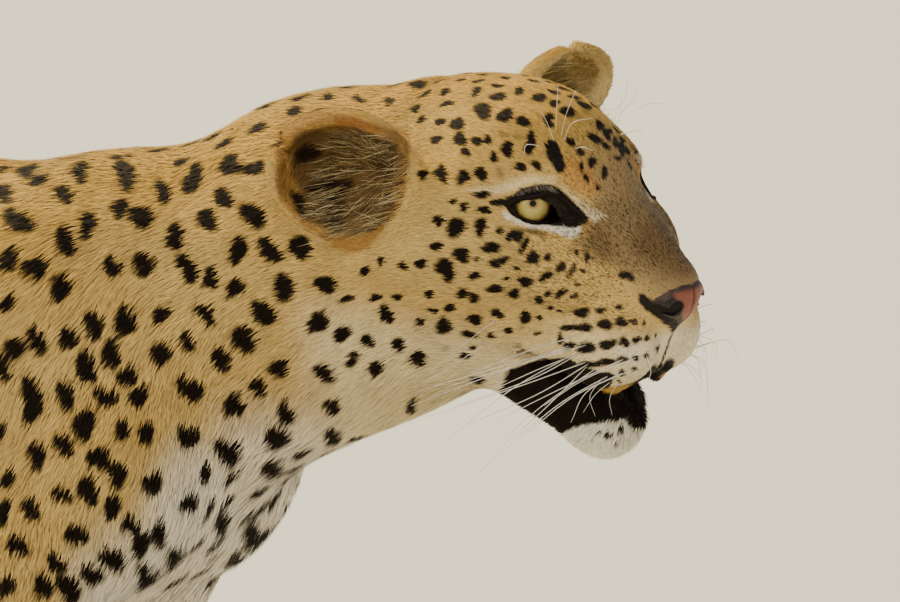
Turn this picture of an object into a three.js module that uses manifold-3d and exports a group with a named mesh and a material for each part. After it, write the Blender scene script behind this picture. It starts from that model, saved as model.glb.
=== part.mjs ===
// A still, life-size leopard standing on four feet, its head turned to its right and its mouth a little open.
// Millimetres, +Z up. It faces +X, its left side is +Y, and it stands on z = 0.
// The body is one blended form of balls and round bars. Each named part is the piece of that form
// that lies round its own bones, found by rays from a line through its middle, and cut from its neighbours.
import * as THREE from "three";
import Module from "manifold-3d";
import { mergeVertices } from "three/addons/utils/BufferGeometryUtils.js";

const wasm = await Module();
wasm.setup();

// Driving sizes
const GAP = 0.3;
const SKIN_BEYOND_LIMB = 13;
const EYE_RADIUS = 14.5;
const EYE_OUT = 41;
const LID_THICKNESS = 2.4;
const LID_SLIT = { length: 31, upper: 9.5, lower: 8.5 };
const HEAD_AT = [285, -45, 640];
const HEAD_TURN = { yaw: -14, pitch: 14, roll: 8 };
const JAW_HINGE = [-48, 0, -36];
const JAW_OPEN = 14;
const NECK_TO_HEAD = { at: [-98, 0, -30], lean: 8 };
const NECK_TO_TORSO = { at: [26, 0, 560], lean: 25 };
const TAIL = { root: [-792, 0, 588], length: 850, thick: 34, thin: 15, links: 16, drift: 62, lengths: 3 };
const PAW = {
  fore: { long: 98, wide: 86, tall: 34, toe: 15.5 },
  hind: { long: 92, wide: 76, tall: 32, toe: 14 },
};
const ELBOW_HEIGHT = 385;
const WRIST_HEIGHT = 128;
const HOCK_HEIGHT = 215;
const ANKLE_HEIGHT = 62;
const LEG_OUT = 78;
const JOINT_REACH = 80;
const PAW_WAY = [0.35, 0, -1];
const FORWARD = [1, 0, 0];
const FORE_PAW_X = { left: -95, right: 62 };
const HIND_PAW_X = { left: -628, right: -790 };

// Colours of the parts
const COAT = { color: 0xc99a55, roughness: 0.85, metalness: 0 };
const NOSE_LEATHER = { color: 0x9c5e50, roughness: 0.5, metalness: 0 };
const EYE_COLOUR = { color: 0xb9ad5a, roughness: 0.15, metalness: 0 };

const radians = THREE.MathUtils.degToRad;
const vector = (point) => new THREE.Vector3(...point);

function turned(yaw = 0, pitch = 0, roll = 0) {
  return new THREE.Matrix4().makeRotationFromEuler(
    new THREE.Euler(radians(roll), radians(pitch), radians(yaw), "ZYX"),
  );
}

const HEAD_FRAME = turned(HEAD_TURN.yaw, HEAD_TURN.pitch, HEAD_TURN.roll).setPosition(vector(HEAD_AT));

// Balls and bars, each with the distance over which it blends into the forms before it.
class Ball {
  constructor(centre, radii, blend = 0, frame = turned()) {
    this.radii = radii;
    this.blend = blend;
    this.frame = frame.clone().setPosition(vector(centre));
    this.settle();
  }

  settle() {
    this.inverse = this.frame.clone().invert();
    this.middle = new THREE.Vector3().setFromMatrixPosition(this.frame);
    this.reach = Math.max(...this.radii);
    return this;
  }

  placed(matrix) {
    const ball = new Ball([0, 0, 0], this.radii, this.blend);
    ball.frame = matrix.clone().multiply(this.frame);
    return ball.settle();
  }

  distance(point) {
    const local = point.clone().applyMatrix4(this.inverse);
    const [a, b, c] = this.radii;
    const inside = Math.hypot(local.x / a, local.y / b, local.z / c);
    const slope = Math.hypot(local.x / (a * a), local.y / (b * b), local.z / (c * c));
    return inside * (inside - 1) / Math.max(slope, 1e-6);
  }
}

class Bar {
  constructor(from, fromRadius, to, toRadius, blend = 0) {
    this.from = vector(from);
    this.to = vector(to);
    this.radii = [fromRadius, toRadius];
    this.blend = blend;
    this.middle = this.from.clone().lerp(this.to, 0.5);
    this.reach = this.from.distanceTo(this.to) / 2 + Math.max(...this.radii);
  }

  placed(matrix) {
    const from = this.from.clone().applyMatrix4(matrix);
    const to = this.to.clone().applyMatrix4(matrix);
    return new Bar(from.toArray(), this.radii[0], to.toArray(), this.radii[1], this.blend);
  }

  distance(point) {
    const line = this.to.clone().sub(this.from);
    const along = point.clone().sub(this.from).dot(line) / line.lengthSq();
    const share = THREE.MathUtils.clamp(along, 0, 1);
    const nearest = this.from.clone().lerp(this.to, share);
    return nearest.distanceTo(point) - THREE.MathUtils.lerp(this.radii[0], this.radii[1], share);
  }
}

const placedAll = (forms, matrix) => forms.map((form) => form.placed(matrix));
const bothSides = (make) => [make(1), make(-1)];

// The blended distance from a set of forms: below 0 inside, above 0 outside.
function blended(forms) {
  return (point) => {
    let value = 1e3;
    for (const form of forms) {
      if (form.middle.distanceTo(point) - form.reach > value + form.blend) continue;
      const distance = form.distance(point);
      const share = form.blend > 0 ? Math.max(form.blend - Math.abs(value - distance), 0) / form.blend : 0;
      value = Math.min(value, distance) - share * share * form.blend / 4;
    }
    return value;
  };
}

// Head, in its own frame: +X to the nose, +Z up, the eyes on the Y axis.
const headForms = [
  new Ball([-62, 0, 6], [72, 60, 52]),
  new Ball([-22, 0, 18], [50, 46, 40], 30),
  ...bothSides((s) => new Ball([-40, 48 * s, -32], [60, 38, 52], 28)),
  new Bar([10, 0, 0], 33, [72, 0, -37], 25, 24),
  ...bothSides((s) => new Ball([18, 34 * s, -32], [42, 24, 34], 22)),
  ...bothSides((s) => new Ball([60, 21 * s, -70], [31, 22, 31], 12)),
  new Ball([84, 0, -38], [14, 17, 16], 10),
  ...bothSides((s) => new Bar([48, 26 * s, -82], 17, [0, 50 * s, -72], 15, 16)),
  ...bothSides((s) => new Ball([-84, 44 * s, -52], [48, 36, 44], 26)),
  ...bothSides((s) => new Ball([4, 34 * s, 24], [24, 16, 10], 14, turned(-20 * s, 0, -30 * s))),
];

const jawForms = [
  new Ball([70, 0, -109], [22, 24, 23]),
  ...bothSides((s) => new Bar([58, 12 * s, -105], 18, [-44, 33 * s, -80], 24, 16)),
  ...bothSides((s) => new Bar([40, 26 * s, -92], 9, [-22, 43 * s, -70], 14, 8)),
  new Ball([12, 0, -100], [58, 34, 24], 18),
];

const neckForms = [
  new Bar([0, 0, 548], 100, [118, -10, 602], 94, 60),
  new Bar([118, -10, 602], 94, vector([-96, 0, -26]).applyMatrix4(HEAD_FRAME).toArray(), 73, 30),
  new Bar([58, -6, 536], 78, vector([-50, 0, -76]).applyMatrix4(HEAD_FRAME).toArray(), 56, 36),
];

const torsoForms = [
  new Ball([-165, 0, 506], [215, 108, 136]),
  new Ball([-42, 0, 488], [98, 88, 116], 50),
  new Ball([-430, 0, 520], [240, 96, 108], 60),
  new Ball([-668, 0, 540], [140, 88, 98], 60),
  new Bar([-60, 0, 602], 38, [-650, 0, 604], 40, 40),
  ...bothSides((s) => new Ball([-52, 52 * s, 570], [88, 42, 74], 40, turned(0, -25, 0))),
];

function foreleg(side, pawX) {
  const s = side === "left" ? 1 : -1;
  const elbow = [-74, 84 * s, ELBOW_HEIGHT];
  const wrist = [pawX - 6, LEG_OUT * s, WRIST_HEIGHT];
  const ankle = [pawX + 4, LEG_OUT * s, ANKLE_HEIGHT];
  const belly = [elbow[0] * 0.45 + wrist[0] * 0.55 + 6, 81 * s, 250];
  return {
    s, elbow, wrist, ankle,
    paw: [pawX + 26, LEG_OUT * s, 0],
    forms: [
      new Ball([-26, 74 * s, 502], [60, 43, 112], 40, turned(0, -18, 0)),
      new Bar([-10, 80 * s, 462], 56, elbow, 50, 36),
      new Bar([elbow[0] + 8, elbow[1], elbow[2] - 8], 50, belly, 38, 24),
      new Bar(belly, 38, wrist, 29, 14),
      new Bar(wrist, 31, ankle, 30, 14),
    ],
    upper: [[-40, 84 * s, 560], [-10, 84 * s, 470], elbow],
  };
}

function hindleg(side, pawX) {
  const s = side === "left" ? 1 : -1;
  const stifle = [-606, 88 * s, 420];
  const hock = [pawX - 58, LEG_OUT * s, HOCK_HEIGHT];
  const ankle = [pawX - 20, LEG_OUT * s, ANKLE_HEIGHT];
  const calf = [stifle[0] * 0.5 + hock[0] * 0.5 - 4, 84 * s, 318];
  return {
    s, stifle, hock, ankle,
    paw: [pawX + 8, LEG_OUT * s, 0],
    forms: [
      new Ball([-682, 62 * s, 520], [96, 48, 128], 50, turned(0, -18, 0)),
      new Bar([-692, 72 * s, 498], 70, stifle, 56, 40),
      new Bar(stifle, 54, calf, 42, 26),
      new Bar(calf, 42, hock, 26, 18),
      new Bar([hock[0] - 14, hock[1], hock[2] + 12], 19, [calf[0] - 24, calf[1], calf[2] + 6], 22, 14),
      new Bar(hock, 26, ankle, 27, 12),
    ],
    upper: [[-700, 74 * s, 560], [-664, 80 * s, 480], stifle],
  };
}

const forelegs = { left: foreleg("left", FORE_PAW_X.left), right: foreleg("right", FORE_PAW_X.right) };
const hindlegs = { left: hindleg("left", HIND_PAW_X.left), right: hindleg("right", HIND_PAW_X.right) };

// The tail drops from the rump, then curls up towards its tip. Its slope below level, in degrees, along its length:
function tailSlope(share) {
  const drop = 35 * Math.sin(Math.PI * Math.min(share / 0.6, 1));
  return 45 + drop - 105 * THREE.MathUtils.smoothstep(share, 0.35, 1);
}

function tailPoints() {
  const points = [vector(TAIL.root)];
  for (let link = 0; link < TAIL.links; link += 1) {
    const slope = radians(tailSlope((link + 0.5) / TAIL.links));
    const step = TAIL.length / TAIL.links;
    const last = points[link];
    points.push(last.clone().add(vector([-Math.cos(slope) * step, TAIL.drift / TAIL.links, -Math.sin(slope) * step])));
  }
  return points;
}

const tailLine = tailPoints();
const tailRadius = (share) => THREE.MathUtils.lerp(TAIL.thick, TAIL.thin, share ** 0.7);
const tailForms = tailLine.slice(1).map((point, link) => new Bar(
  tailLine[link].toArray(), tailRadius(link / TAIL.links),
  point.toArray(), tailRadius((link + 1) / TAIL.links), link === 0 ? 30 : 8,
));

const upperForms = [forelegs.left, forelegs.right, hindlegs.left, hindlegs.right].flatMap((leg) => leg.forms.slice(0, 2));
const bodyForms = [...torsoForms, ...neckForms, ...placedAll(headForms, HEAD_FRAME), ...upperForms, ...tailForms.slice(0, 4)];
const bodyField = blended(bodyForms);

// The first distance along a ray at which the field passes the level, or the reach.
function rayLength(field, origin, direction, level, reach) {
  let near = 0;
  let far = 0;
  while (far < reach) {
    const value = field(origin.clone().addScaledVector(direction, far)) - level;
    if (value > 0) break;
    near = far;
    far += Math.max(1.5, -value * 0.7);
  }
  if (far >= reach) return reach;
  for (let i = 0; i < 12; i += 1) {
    const middle = (near + far) / 2;
    if (field(origin.clone().addScaledVector(direction, middle)) > level) far = middle;
    else near = middle;
  }
  return Math.max(near, 0.4);
}

// A closed surface of rays from a line, with rounded ends.
function loft(points, { field, level = 0, reach = 200, rings = 12, sides = 24, ends = [3, 3], up = [0, 0, 1] }) {
  const curve = points.length === 2
    ? new THREE.LineCurve3(vector(points[0]), vector(points[1]))
    : new THREE.CatmullRomCurve3(points.map(vector));
  const stations = [];
  for (let i = ends[0]; i > 0; i -= 1) stations.push({ at: 0, tilt: -90 * i / (ends[0] + 1) });
  for (let i = 0; i <= rings; i += 1) stations.push({ at: i / rings, tilt: 0 });
  for (let i = 1; i <= ends[1]; i += 1) stations.push({ at: 1, tilt: 90 * i / (ends[1] + 1) });

  const vertices = [];
  const addPoint = (origin, direction) => {
    const length = rayLength(field, origin, direction, level, reach);
    vertices.push(...origin.clone().addScaledVector(direction, length).toArray());
  };
  const tangentAt = (share) => curve.getTangentAt(share).normalize();
  addPoint(curve.getPointAt(0), tangentAt(0).negate());
  for (const { at, tilt } of stations) {
    const origin = curve.getPointAt(at);
    const tangent = tangentAt(at);
    const side = vector(up).cross(tangent).normalize();
    const rise = tangent.clone().cross(side);
    for (let k = 0; k < sides; k += 1) {
      const angle = 2 * Math.PI * k / sides;
      const across = side.clone().multiplyScalar(Math.cos(angle)).addScaledVector(rise, Math.sin(angle));
      across.multiplyScalar(Math.cos(radians(tilt))).addScaledVector(tangent, Math.sin(radians(tilt)));
      addPoint(origin, across);
    }
  }
  addPoint(curve.getPointAt(1), tangentAt(1));

  const indices = [];
  const last = vertices.length / 3 - 1;
  const vertex = (station, k) => 1 + station * sides + (k % sides);
  for (let k = 0; k < sides; k += 1) {
    indices.push(0, vertex(0, k + 1), vertex(0, k));
    indices.push(last, vertex(stations.length - 1, k), vertex(stations.length - 1, k + 1));
    for (let i = 0; i + 1 < stations.length; i += 1) {
      indices.push(vertex(i, k), vertex(i, k + 1), vertex(i + 1, k + 1));
      indices.push(vertex(i, k), vertex(i + 1, k + 1), vertex(i + 1, k));
    }
  }
  const geometry = new THREE.BufferGeometry();
  geometry.setAttribute("position", new THREE.Float32BufferAttribute(vertices, 3));
  geometry.setIndex(indices);
  return solid(geometry);
}

// Closed geometry to a solid that can be joined and cut, and back.
function solid(geometry) {
  geometry.deleteAttribute("normal");
  geometry.deleteAttribute("uv");
  const merged = mergeVertices(geometry, 1e-3);
  return new wasm.Manifold(new wasm.Mesh({
    numProp: 3,
    vertProperties: new Float32Array(merged.attributes.position.array),
    triVerts: new Uint32Array(merged.index.array),
  }));
}

function geometryOf(shape) {
  const pieces = shape.decompose().sort((a, b) => b.volume() - a.volume());
  const mesh = pieces[0].getMesh();
  const geometry = new THREE.BufferGeometry();
  geometry.setAttribute("position", new THREE.BufferAttribute(new Float32Array(mesh.vertProperties), 3));
  geometry.setIndex([...mesh.triVerts]);
  geometry.computeVertexNormals();
  return geometry;
}

function ellipsoid(centre, radii, frame = turned(), around = 16, down = 10) {
  const geometry = new THREE.SphereGeometry(1, around, down);
  geometry.scale(...radii);
  geometry.applyMatrix4(frame);
  geometry.translate(...centre);
  return solid(geometry);
}

// A block that fills one side of a plane: everything ahead of the point, along the direction, or behind it.
function halfSpace(at, direction, shift = 0, size = 900) {
  const geometry = new THREE.BoxGeometry(size, size, size);
  geometry.translate(size / 2, 0, 0);
  const along = vector(direction).normalize();
  geometry.applyQuaternion(new THREE.Quaternion().setFromUnitVectors(vector([1, 0, 0]), along));
  geometry.translate(...vector(at).addScaledVector(along, shift).toArray());
  return solid(geometry);
}

const leaning = (degrees) => [Math.cos(radians(degrees)), 0, Math.sin(radians(degrees))];
const against = (direction) => direction.map((value) => -value);
const between = (a, b) => vector(b).sub(vector(a)).normalize().toArray();

const model = new THREE.Group();
const headGroup = new THREE.Group();
headGroup.applyMatrix4(HEAD_FRAME);
model.add(headGroup);

function add(name, shape, look, parent = model) {
  const mesh = new THREE.Mesh(geometryOf(shape), new THREE.MeshStandardMaterial(look));
  mesh.name = name;
  parent.add(mesh);
}

// The lips: places along the middle line of the head, and the angle round it at which each lip lies.
const LIP_RADIUS = 4;
const UPPER_LIP = [
  { x: 80, z: -70, angle: -72 },
  { x: 64, z: -70, angle: -56 },
  { x: 40, z: -66, angle: -46 },
  { x: 12, z: -56, angle: -40 },
  { x: -14, z: -48, angle: -34 },
];
const LOWER_LIP = [
  { x: 72, z: -124, angle: 62 },
  { x: 58, z: -122, angle: 48 },
  { x: 34, z: -112, angle: 40 },
  { x: 8, z: -102, angle: 34 },
];

// Ears: a cup with a rounded tip, open along its facing direction.
const EARS = {
  right: {
    base: [-84, -68, -6], tip: [-0.68, -0.7, 0.22], facing: [0.6, -0.72, 0.05],
    long: 82, wide: 45, deep: 27, notch: 0.8,
  },
  left: {
    base: [-80, 52, 16], tip: [0.3, 0.8, 0.5], facing: [0.84, -0.34, 0.1],
    long: 68, wide: 27, deep: 19, notch: -0.8,
  },
};

function earFrame({ tip, facing }) {
  const along = vector(tip).normalize();
  const face = vector(facing).addScaledVector(along, -vector(facing).dot(along)).normalize();
  const across = along.clone().cross(face);
  return new THREE.Matrix4().makeBasis(face, across, along);
}

function earShape(ear) {
  const frame = earFrame(ear);
  const face = new THREE.Vector3().setFromMatrixColumn(frame, 0);
  const across = new THREE.Vector3().setFromMatrixColumn(frame, 1);
  const along = new THREE.Vector3().setFromMatrixColumn(frame, 2);
  const spot = (ahead, aside, up) => vector(ear.base).addScaledVector(face, ahead)
    .addScaledVector(across, aside).addScaledVector(along, up).toArray();
  const outer = ellipsoid(spot(0, 0, ear.long * 0.38), [ear.deep, ear.wide, ear.long * 0.62], frame, 16, 12);
  const cup = ellipsoid(spot(ear.deep * 0.9, 0, ear.long * 0.48), [ear.deep * 1.4, ear.wide * 0.84, ear.long * 0.45],
    frame, 14, 10);
  const notch = ellipsoid(spot(0, ear.notch * ear.wide, ear.long * 0.7), [ear.deep, 6, 3], frame, 8, 6);
  return outer.subtract(cup).subtract(notch);
}

function makeHead() {
  const toHead = HEAD_FRAME.clone().invert();
  const field = blended([...headForms, ...placedAll([...torsoForms.slice(0, 2), ...neckForms], toHead)]);
  const line = [[-70, 0, -22], [0, 0, -22], [52, 0, -48]];
  const settings = { field, reach: 155, rings: 16, sides: 30, ends: [3, 5] };
  const skull = loft(line, settings);
  const skullWithGap = loft(line, { ...settings, level: 2 * GAP });
  const behind = leaning(NECK_TO_HEAD.lean);
  let head = skull.intersect(halfSpace(NECK_TO_HEAD.at, behind, GAP / 2));

  for (const side of ["left", "right"]) {
    const s = side === "left" ? 1 : -1;
    const eyeAt = [0, EYE_OUT * s, 0];
    const gaze = turned(34 * s, 0, 0);
    const lids = ellipsoid(eyeAt, Array(3).fill(EYE_RADIUS + LID_THICKNESS), gaze, 14, 9);
    head = head.add(lids).subtract(ellipsoid(eyeAt, Array(3).fill(EYE_RADIUS + GAP), gaze, 14, 9));
    head = head.subtract(eyeSlit(eyeAt, s));
    add(`eye_${side}`, ellipsoid(eyeAt, Array(3).fill(EYE_RADIUS), gaze, 14, 9), EYE_COLOUR, headGroup);
    add(`ear_${side}`, earShape(EARS[side]).subtract(skullWithGap), COAT, headGroup);
  }
  let clearOfHead = skullWithGap;
  for (const s of [1, -1]) {
    head = head.add(lipRoll(field, UPPER_LIP, s, LIP_RADIUS));
    clearOfHead = clearOfHead.add(lipRoll(field, UPPER_LIP, s, LIP_RADIUS + 2 * GAP));
  }
  const { nose, pocket } = noseShape(field);
  head = head.subtract(pocket);
  add("nose", nose, NOSE_LEATHER, headGroup);
  add("head", head, COAT, headGroup);
  return clearOfHead;
}

// The almond between the lids, cut outwards from inside the eye.
function eyeSlit(eyeAt, s) {
  const half = LID_SLIT.length / 2;
  const almond = new THREE.Shape();
  almond.moveTo(-half, -2);
  almond.quadraticCurveTo(-2, LID_SLIT.upper * 1.7, half, 3);
  almond.quadraticCurveTo(2, -LID_SLIT.lower * 1.9, -half, -2);
  const prism = new THREE.ExtrudeGeometry(almond, { depth: 60, bevelEnabled: false, curveSegments: 8 });
  // Shape x runs back along the face, shape y runs up, and the depth runs outwards.
  const outward = vector([Math.sin(radians(38)), Math.cos(radians(38)) * s, 0]);
  const rise = vector([0, 0, 1]);
  const frame = new THREE.Matrix4().makeBasis(rise.clone().cross(outward), rise, outward);
  prism.applyMatrix4(frame);
  prism.translate(...eyeAt);
  return solid(prism);
}

// The nose leather, a rounded wedge that narrows to the groove above the lip, with a nostril on each side.
function noseShape(field) {
  const outline = new THREE.Shape();
  outline.moveTo(0, -46);
  outline.quadraticCurveTo(4, -38, 12, -32);
  outline.quadraticCurveTo(22, -28, 20, -18);
  outline.quadraticCurveTo(14, -10, 0, -9);
  outline.quadraticCurveTo(-14, -10, -20, -18);
  outline.quadraticCurveTo(-22, -28, -12, -32);
  outline.quadraticCurveTo(-4, -38, 0, -46);
  const prismOf = (grow) => {
    const prism = new THREE.ExtrudeGeometry(outline, { depth: 34 + grow, bevelEnabled: false, curveSegments: 5 });
    prism.scale(1 + grow / 20, 1 + grow / 20, 1);
    prism.translate(0, grow / 20 * 27, -grow);
    prism.rotateX(radians(90));
    prism.rotateZ(radians(90));
    prism.translate(78, 0, -8);
    return solid(prism);
  };
  const line = [[10, 0, -30], [62, 0, -52]];
  const front = { field, reach: 90, rings: 3, sides: 24, ends: [1, 5] };
  const leather = loft(line, { ...front, level: 1.2 });
  let nose = leather.intersect(prismOf(0));
  for (const s of [1, -1]) {
    nose = nose.subtract(ellipsoid([94, 11 * s, -34], [12, 4.5, 3.4], turned(24 * s, 20, -30 * s), 12, 8));
  }
  return { nose, pocket: prismOf(GAP) };
}

// A rounded roll of lip along the surface, found by rays from the head's middle plane. Each angle is in
// degrees, 0 to the side and -90 straight down.
function lipRoll(field, lip, s, radius) {
  const points = lip.map(({ x, z, angle }) => {
    const direction = vector([0, Math.cos(radians(angle)) * s, Math.sin(radians(angle))]);
    const origin = vector([x, 0, z]);
    return origin.addScaledVector(direction, rayLength(field, origin, direction, LIP_RADIUS * 0.1, 120));
  });
  const section = new THREE.Shape().absarc(0, 0, radius, 0, 2 * Math.PI);
  const path = new THREE.CatmullRomCurve3(points);
  const settings = { steps: 12, extrudePath: path, bevelEnabled: false, curveSegments: 3 };
  return solid(new THREE.ExtrudeGeometry(section, settings));
}

function makeJaw(clearOfHead) {
  const forms = placedAll(jawForms, new THREE.Matrix4().makeTranslation(...JAW_HINGE)
    .multiply(turned(0, JAW_OPEN, 0)).multiply(new THREE.Matrix4().makeTranslation(...against(JAW_HINGE))));
  const line = [[-20, 0, -90], [44, 0, -128]];
  const field = blended(forms);
  let jaw = loft(line, { field, reach: 90, rings: 7, sides: 18, ends: [2, 3] });
  for (const s of [1, -1]) jaw = jaw.add(lipRoll(field, LOWER_LIP, s, LIP_RADIUS));
  add("jaw", jaw.subtract(clearOfHead).intersect(halfSpace(NECK_TO_HEAD.at, leaning(NECK_TO_HEAD.lean), GAP / 2)),
    COAT, headGroup);
}

function makeNeck(cutters) {
  const line = [[-10, 0, 556], [118, -8, 592], [190, -24, 612], [238, -36, 628]];
  const toHead = new THREE.Vector3(...leaning(NECK_TO_HEAD.lean)).transformDirection(HEAD_FRAME).toArray();
  const headAt = vector(NECK_TO_HEAD.at).applyMatrix4(HEAD_FRAME).toArray();
  const neck = loft(line, { field: bodyField, reach: 170, rings: 9, sides: 28, ends: [1, 1] });
  const trimmed = neck.intersect(halfSpace(NECK_TO_TORSO.at, leaning(NECK_TO_TORSO.lean), GAP / 2))
    .subtract(halfSpace(headAt, toHead, -GAP / 2));
  add("neck", cutters.reduce((rest, cutter) => rest.subtract(cutter), trimmed), COAT);
}

// A limb's own solid within the whole body, and the cutter that clears a place for it.
function limb(points, forms, settings) {
  const own = blended(forms);
  const whole = blended([...bodyForms, ...forms]);
  const within = (point) => Math.max(whole(point), own(point) - SKIN_BEYOND_LIMB);
  return {
    shape: loft(points, { ...settings, field: within }),
    cutter: loft(points, { ...settings, field: own, level: SKIN_BEYOND_LIMB + GAP }),
  };
}

function makeForeleg(side) {
  const { elbow, wrist, ankle, paw, forms, upper } = forelegs[side];
  const name = (part) => `leg_fore_${side}_${part}`;
  const shaft = between(elbow, wrist);
  const elbowCut = vector(elbow).addScaledVector(vector(shaft), 34).toArray();
  const wristCut = vector(ankle).lerp(vector(wrist), 0.25).toArray();
  const shoulder = limb(upper, forms, { reach: 120, rings: 6, sides: 16, ends: [3, 2], up: FORWARD });
  const field = blended(forms);
  const lower = loft([vector(elbow).addScaledVector(vector(shaft), 10).toArray(), wrist, ankle],
    { field, reach: 80, rings: 9, sides: 14, ends: [1, 1], up: FORWARD });
  add(name("shoulder"), shoulder.shape.subtract(halfSpace(elbowCut, shaft, -GAP / 2, 2 * JOINT_REACH)), COAT);
  add(name("forearm"), lower.intersect(halfSpace(elbowCut, shaft, GAP / 2))
    .subtract(halfSpace(wristCut, PAW_WAY, -GAP / 2)), COAT);
  add(name("paw"), pawShape(paw, PAW.fore, ankle, wristCut), COAT);
  return shoulder.cutter;
}

function makeHindleg(side) {
  const { s, stifle, hock, ankle, paw, forms, upper } = hindlegs[side];
  const name = (part) => `leg_hind_${side}_${part}`;
  const shaft = between(stifle, hock);
  const kneeCut = vector(stifle).addScaledVector(vector(shaft), 40).toArray();
  const hockCut = vector(hock).toArray();
  const hockWay = vector(shaft).add(vector(between(hock, ankle))).normalize().toArray();
  const ankleCut = vector(ankle).lerp(vector(hock), 0.1).toArray();
  const field = blended(forms.slice(2));
  const thigh = limb(upper, forms, { reach: 130, rings: 6, sides: 16, ends: [3, 2], up: FORWARD });
  const midline = halfSpace([0, 0, 0], [0, s, 0], GAP / 2, 2000);
  const shank = loft([vector(stifle).addScaledVector(vector(shaft), 16).toArray(), hock],
    { field, reach: 90, rings: 7, sides: 14, ends: [1, 2], up: FORWARD });
  const foot = loft([hock, ankle], { field, reach: 60, rings: 5, sides: 12, ends: [3, 1], up: FORWARD });
  const below = halfSpace(kneeCut, shaft, -GAP / 2, 2 * JOINT_REACH);
  add(name("thigh"), thigh.shape.subtract(below).intersect(midline), COAT);
  add(name("shank"), shank.intersect(halfSpace(kneeCut, shaft, GAP / 2))
    .subtract(halfSpace(hockCut, hockWay, -GAP / 2)), COAT);
  add(name("foot"), foot.intersect(halfSpace(hockCut, hockWay, GAP / 2))
    .subtract(halfSpace(ankleCut, PAW_WAY, -GAP / 2)), COAT);
  add(name("paw"), pawShape(paw, PAW.hind, ankle, ankleCut), COAT);
  return thigh.cutter;
}

// A paw: a low rounded palm with four toes ahead of it, flat underneath.
function pawShape([x, y], size, ankle, cutAt) {
  const palm = blended([
    new Ball([x - size.long * 0.08, y, size.tall * 0.8], [size.long * 0.42, size.wide * 0.43, size.tall * 0.94]),
    new Bar([ankle[0] - 2, ankle[1], ankle[2] + 40], 27, [ankle[0] + 4, ankle[1], ankle[2] - 20], 30, 16),
  ]);
  const line = [[ankle[0] + 4, ankle[1], ankle[2] + 10], [ankle[0] + 10, ankle[1], size.tall * 0.9]];
  let paw = loft(line, { field: palm, reach: 80, rings: 2, sides: 12, ends: [2, 2], up: FORWARD });
  for (const toe of [0, 1, 2, 3]) {
    const aside = (toe - 1.5) * size.wide * 0.245;
    const ahead = size.long * (toe === 1 || toe === 2 ? 0.28 : 0.17);
    const spread = turned((toe - 1.5) * 6, 0, 0);
    paw = paw.add(ellipsoid([x + ahead, y + aside, size.toe * 1.05], [size.long * 0.25, size.toe * 0.82, size.toe * 1.25],
      spread, 8, 6));
  }
  return paw.subtract(halfSpace([x, y, 0], [0, 0, -1])).intersect(halfSpace(cutAt, PAW_WAY, GAP / 2));
}

function makeTail(cutters) {
  const share = (index) => Math.round(index * TAIL.links / TAIL.lengths);
  const field = blended([...torsoForms, ...upperForms, ...tailForms]);
  for (let i = 0; i < TAIL.lengths; i += 1) {
    const first = Math.max(share(i) - 1, 0);
    const last = Math.min(share(i + 1) + 1, TAIL.links);
    const points = tailLine.slice(first, last + 1).map((point) => point.toArray());
    const rings = (last - first) * 2;
    const ends = [i === 0 ? 1 : 0, i === TAIL.lengths - 1 ? 3 : 0];
    let piece = loft(points, { field, reach: 70, rings, sides: 10, ends, up: [0, 1, 0] });
    piece = piece.intersect(tailCut(Math.max(share(i), 1), GAP / 2));
    if (i < TAIL.lengths - 1) piece = piece.subtract(tailCut(share(i + 1), -GAP / 2));
    if (i === 0) piece = cutters.reduce((rest, cutter) => rest.subtract(cutter), piece);
    add(`tail_${["root", "middle", "tip"][i]}`, piece, COAT);
  }
}

function tailCut(index, shift) {
  const way = between(tailLine[index - 1].toArray(), tailLine[index + 1].toArray());
  return halfSpace(tailLine[index].toArray(), way, shift, 600);
}

function makeTorso(cutters) {
  const line = [[-745, 0, 552], [-560, 0, 540], [-300, 0, 520], [-40, 0, 505]];
  let torso = loft(line, { field: bodyField, reach: 230, rings: 16, sides: 26, ends: [3, 2] });
  torso = torso.subtract(halfSpace(NECK_TO_TORSO.at, leaning(NECK_TO_TORSO.lean), -GAP / 2));
  torso = torso.subtract(tailCut(1, -GAP / 2));
  for (const cutter of cutters) torso = torso.subtract(cutter);
  add("torso", torso, COAT);
}

const clearOfHead = makeHead();
makeJaw(clearOfHead);
const cutters = ["left", "right"].flatMap((side) => [makeForeleg(side), makeHindleg(side)]);
makeNeck(cutters);
makeTorso(cutters);
makeTail(cutters);

// Stand it with the middle of its box over the origin and its soles on z = 0.
model.updateMatrixWorld(true);
const box = new THREE.Box3().setFromObject(model, true);
const middle = box.getCenter(new THREE.Vector3());
model.position.set(-middle.x, -middle.y, -box.min.z);

export default model;
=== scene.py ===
"""The looks of a still, life-size leopard: one skin over the whole body with its lips, a short spotted
coat in tufts, eyes, lids, lashes, nose leather, whiskers, and a pale studio.

Lengths are millimetres in the animal's own frame (+X ahead, +Y its left, +Z up) until a mesh is made."""

import math

import bpy
import numpy as np
import openvdb
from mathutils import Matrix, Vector
from mathutils.bvhtree import BVHTree


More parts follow.
